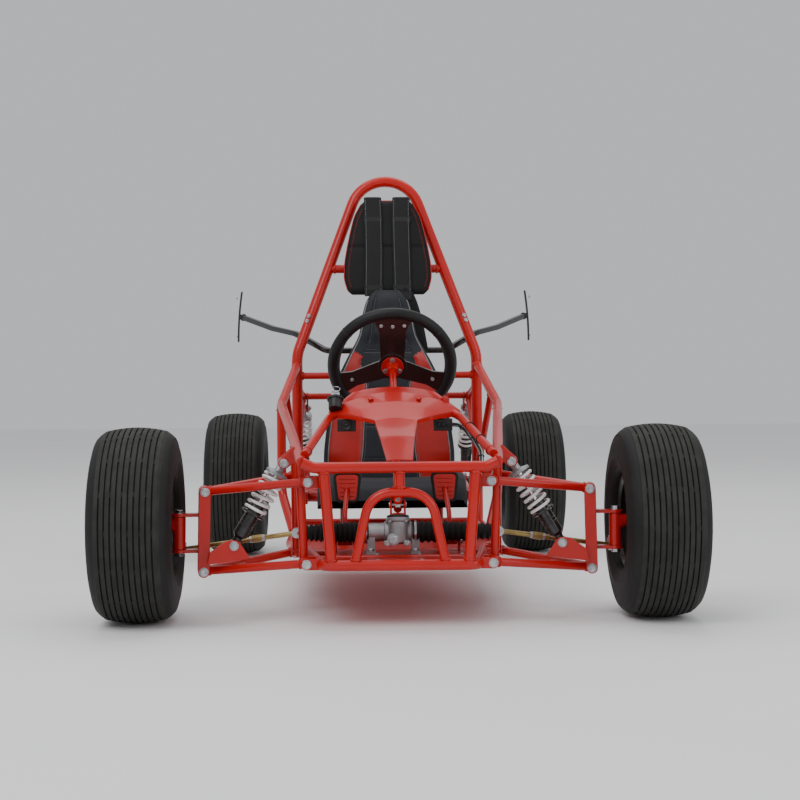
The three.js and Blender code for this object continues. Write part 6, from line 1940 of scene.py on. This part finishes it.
def sprocket(s, at):
    teeth, root, tip = 40, 0.0800, 0.0855
    outline = []
    for k in range(teeth):
        for share, r in ((0.0, root), (0.28, root), (0.42, tip), (0.58, tip), (0.72, root)):
            a = 2 * math.pi * (k + share) / teeth
            outline.append((r * math.cos(a), r * math.sin(a)))
    ring = [(0.030 * math.cos(2 * math.pi * k / len(outline)),
             0.030 * math.sin(2 * math.pi * k / len(outline)))
            for k in range(len(outline))]
    perforated(s, at, outline, ring, 0.006, 0, 6, 0.056, 0.013)
    s.lathe([(0.0150, -0.012), (0.0300, -0.012), (0.0320, -0.010), (0.0320, 0.010), (0.0300, 0.012),
             (0.0150, 0.012)],
            at, X, 40, 1)
    for k in range(4):
        a = 2 * math.pi * (k + 0.25) / 4
        s.bolt(at + (Y * math.cos(a) + Z * math.sin(a)) * 0.0240 + X * 0.0118, X, 0, 0.010, 0.005)


def brake_disc(s, at):
    count = 120
    outline = [(0.090 * math.cos(2 * math.pi * k / count), 0.090 * math.sin(2 * math.pi * k / count))
               for k in range(count)]
    ring = [(0.030 * math.cos(2 * math.pi * k / count), 0.030 * math.sin(2 * math.pi * k / count))
            for k in range(count)]
    perforated(s, at, outline, ring, 0.004, 2, 24, 0.0755, 0.0035)
    s.lathe([(0.0150, -0.012), (0.0300, -0.012), (0.0320, -0.010), (0.0320, 0.010), (0.0300, 0.012),
             (0.0150, 0.012)],
            at, X, 40, 1)
    for k in range(4):
        a = 2 * math.pi * (k + 0.25) / 4
        s.bolt(at + (Y * math.cos(a) + Z * math.sin(a)) * 0.0240 - X * 0.0118, -X, 0, 0.010, 0.005)


def perforated(s, at, outer, inner, thick, paint, holes, reach, radius):
    """A flat disc between two outlines, with dark round inserts where its holes are: painted shade standing in
    for the open holes.
    """
    count = len(outer)
    rings = [[at + X * thick / 2 + Y * a + Z * b for a, b in outer],
             [at - X * thick / 2 + Y * a + Z * b for a, b in outer],
             [at - X * thick / 2 + Y * a + Z * b for a, b in inner],
             [at + X * thick / 2 + Y * a + Z * b for a, b in inner]]
    faces = []
    for i in range(4):
        j = (i + 1) % 4
        for a in range(count):
            b = (a + 1) % count
            faces.append((i * count + a, i * count + b, j * count + b, j * count + a))
    s.add([p for ring in rings for p in ring], faces, paint)
    # Each hole is a dark disc flush with both faces: painted shade in place of an open hole.
    for k in range(holes):
        a = 2 * math.pi * k / holes
        spot = at + (Y * math.cos(a) + Z * math.sin(a)) * reach
        s.rod(spot - X * (thick / 2 + 0.0002), spot + X * (thick / 2 + 0.0002), radius * 2, 1, 20)


class KART_OT_rear(Operator):
    """Builds the swingarm and the live rear axle"""
    bl_idname = "kart.rear"
    bl_label = "Swingarm and rear axle"

    def execute(self, context):
        swingarm()
        rear_axle()
        return {"FINISHED"}


# ---- stage --------------------------------------------------------------------------------------

def area_light(name, size, power, location, target, tint=(1, 1, 1)):
    data = bpy.data.lights.new(name, "AREA")
    data.shape = "RECTANGLE"
    data.size, data.size_y = size
    data.energy = power
    data.color = tint
    lamp = bpy.data.objects.new(name, data)
    lamp.location = location
    lamp.rotation_euler = (Vector(target) - Vector(location)).to_track_quat("-Z", "Y").to_euler()
    bpy.context.scene.collection.objects.link(lamp)


class KART_OT_stage(Operator):
    """Sets the pale floor, the soft light and the camera"""
    bl_idname = "kart.stage"
    bl_label = "Stage"

    def execute(self, context):
        mesh = bpy.data.meshes.new("floor")
        mesh.from_pydata([(-14, -14, 0), (14, -14, 0), (14, 14, 0), (-14, 14, 0)], [], [(0, 1, 2, 3)])
        mesh.materials.append(MATERIALS["floor"])
        floor = bpy.data.objects.new("floor", mesh)
        context.scene.collection.objects.link(floor)
        world = bpy.data.worlds.new("studio")
        world.use_nodes = True
        world.node_tree.nodes["Background"].inputs["Color"].default_value = (0.96, 0.97, 1.0, 1)
        world.node_tree.nodes["Background"].inputs["Strength"].default_value = 0.62
        context.scene.world = world
        area_light("key", (3.0, 3.0), 120, (-2.2, -3.4, 4.2), (0, 0, 0.4))
        area_light("fill", (3.5, 2.5), 50, (3.6, -3.0, 2.4), (0, 0, 0.4))
        area_light("top", (4.0, 4.0), 80, (0, 1.2, 4.8), (0, 0.2, 0.4))
        data = bpy.data.cameras.new("camera")
        data.lens = 70.62
        data.sensor_width = 36
        camera = bpy.data.objects.new("camera", data)
        yaw, pitch, roll = 0.033, 0.0139, -0.0071
        ahead = Vector((math.sin(yaw) * math.cos(pitch), math.cos(yaw) * math.cos(pitch), -math.sin(pitch)))
        turn = ahead.to_track_quat("-Z", "Y").to_matrix() @ Matrix.Rotation(roll, 3, "Z")
        camera.matrix_world = Matrix.Translation((-0.1158, -4.4167, 0.5683)) @ turn.to_4x4()
        context.scene.collection.objects.link(camera)
        context.scene.camera = camera
        return {"FINISHED"}


class KART_OT_materials(Operator):
    """Makes the kart's materials"""
    bl_idname = "kart.materials"
    bl_label = "Materials"

    def execute(self, context):
        build_materials()
        return {"FINISHED"}


STEPS = (KART_OT_materials, KART_OT_frame, KART_OT_front_corners, KART_OT_wheels, KART_OT_steering,
         KART_OT_controls, KART_OT_seat, KART_OT_rear, KART_OT_stage)


class KART_PT_build(Panel):
    """The kart's building steps, in their order"""
    bl_idname = "KART_PT_build"
    bl_label = "Kart chassis"
    bl_space_type = "VIEW_3D"
    bl_region_type = "UI"
    bl_category = "Kart"

    def draw(self, context):
        for step in STEPS:
            self.layout.operator(step.bl_idname)
        for group in (context.scene.kart_tubes, context.scene.kart_wheels, context.scene.kart_colours):
            box = self.layout.box()
            for name in group.__annotations__:
                box.prop(group, name)


CLASSES = (KartTubes, KartWheels, KartColours, *STEPS, KART_PT_build)


def register():
    for kind in CLASSES:
        bpy.utils.register_class(kind)
    bpy.types.Scene.kart_tubes = PointerProperty(type=KartTubes)
    bpy.types.Scene.kart_wheels = PointerProperty(type=KartWheels)
    bpy.types.Scene.kart_colours = PointerProperty(type=KartColours)


def unregister():
    del bpy.types.Scene.kart_colours
    del bpy.types.Scene.kart_wheels
    del bpy.types.Scene.kart_tubes
    for kind in reversed(CLASSES):
        bpy.utils.unregister_class(kind)


def main():
    register()
    for step in STEPS:
        group, name = step.bl_idname.split(".")
        getattr(getattr(bpy.ops, group), name)()


if __name__ == "__main__":
    main()
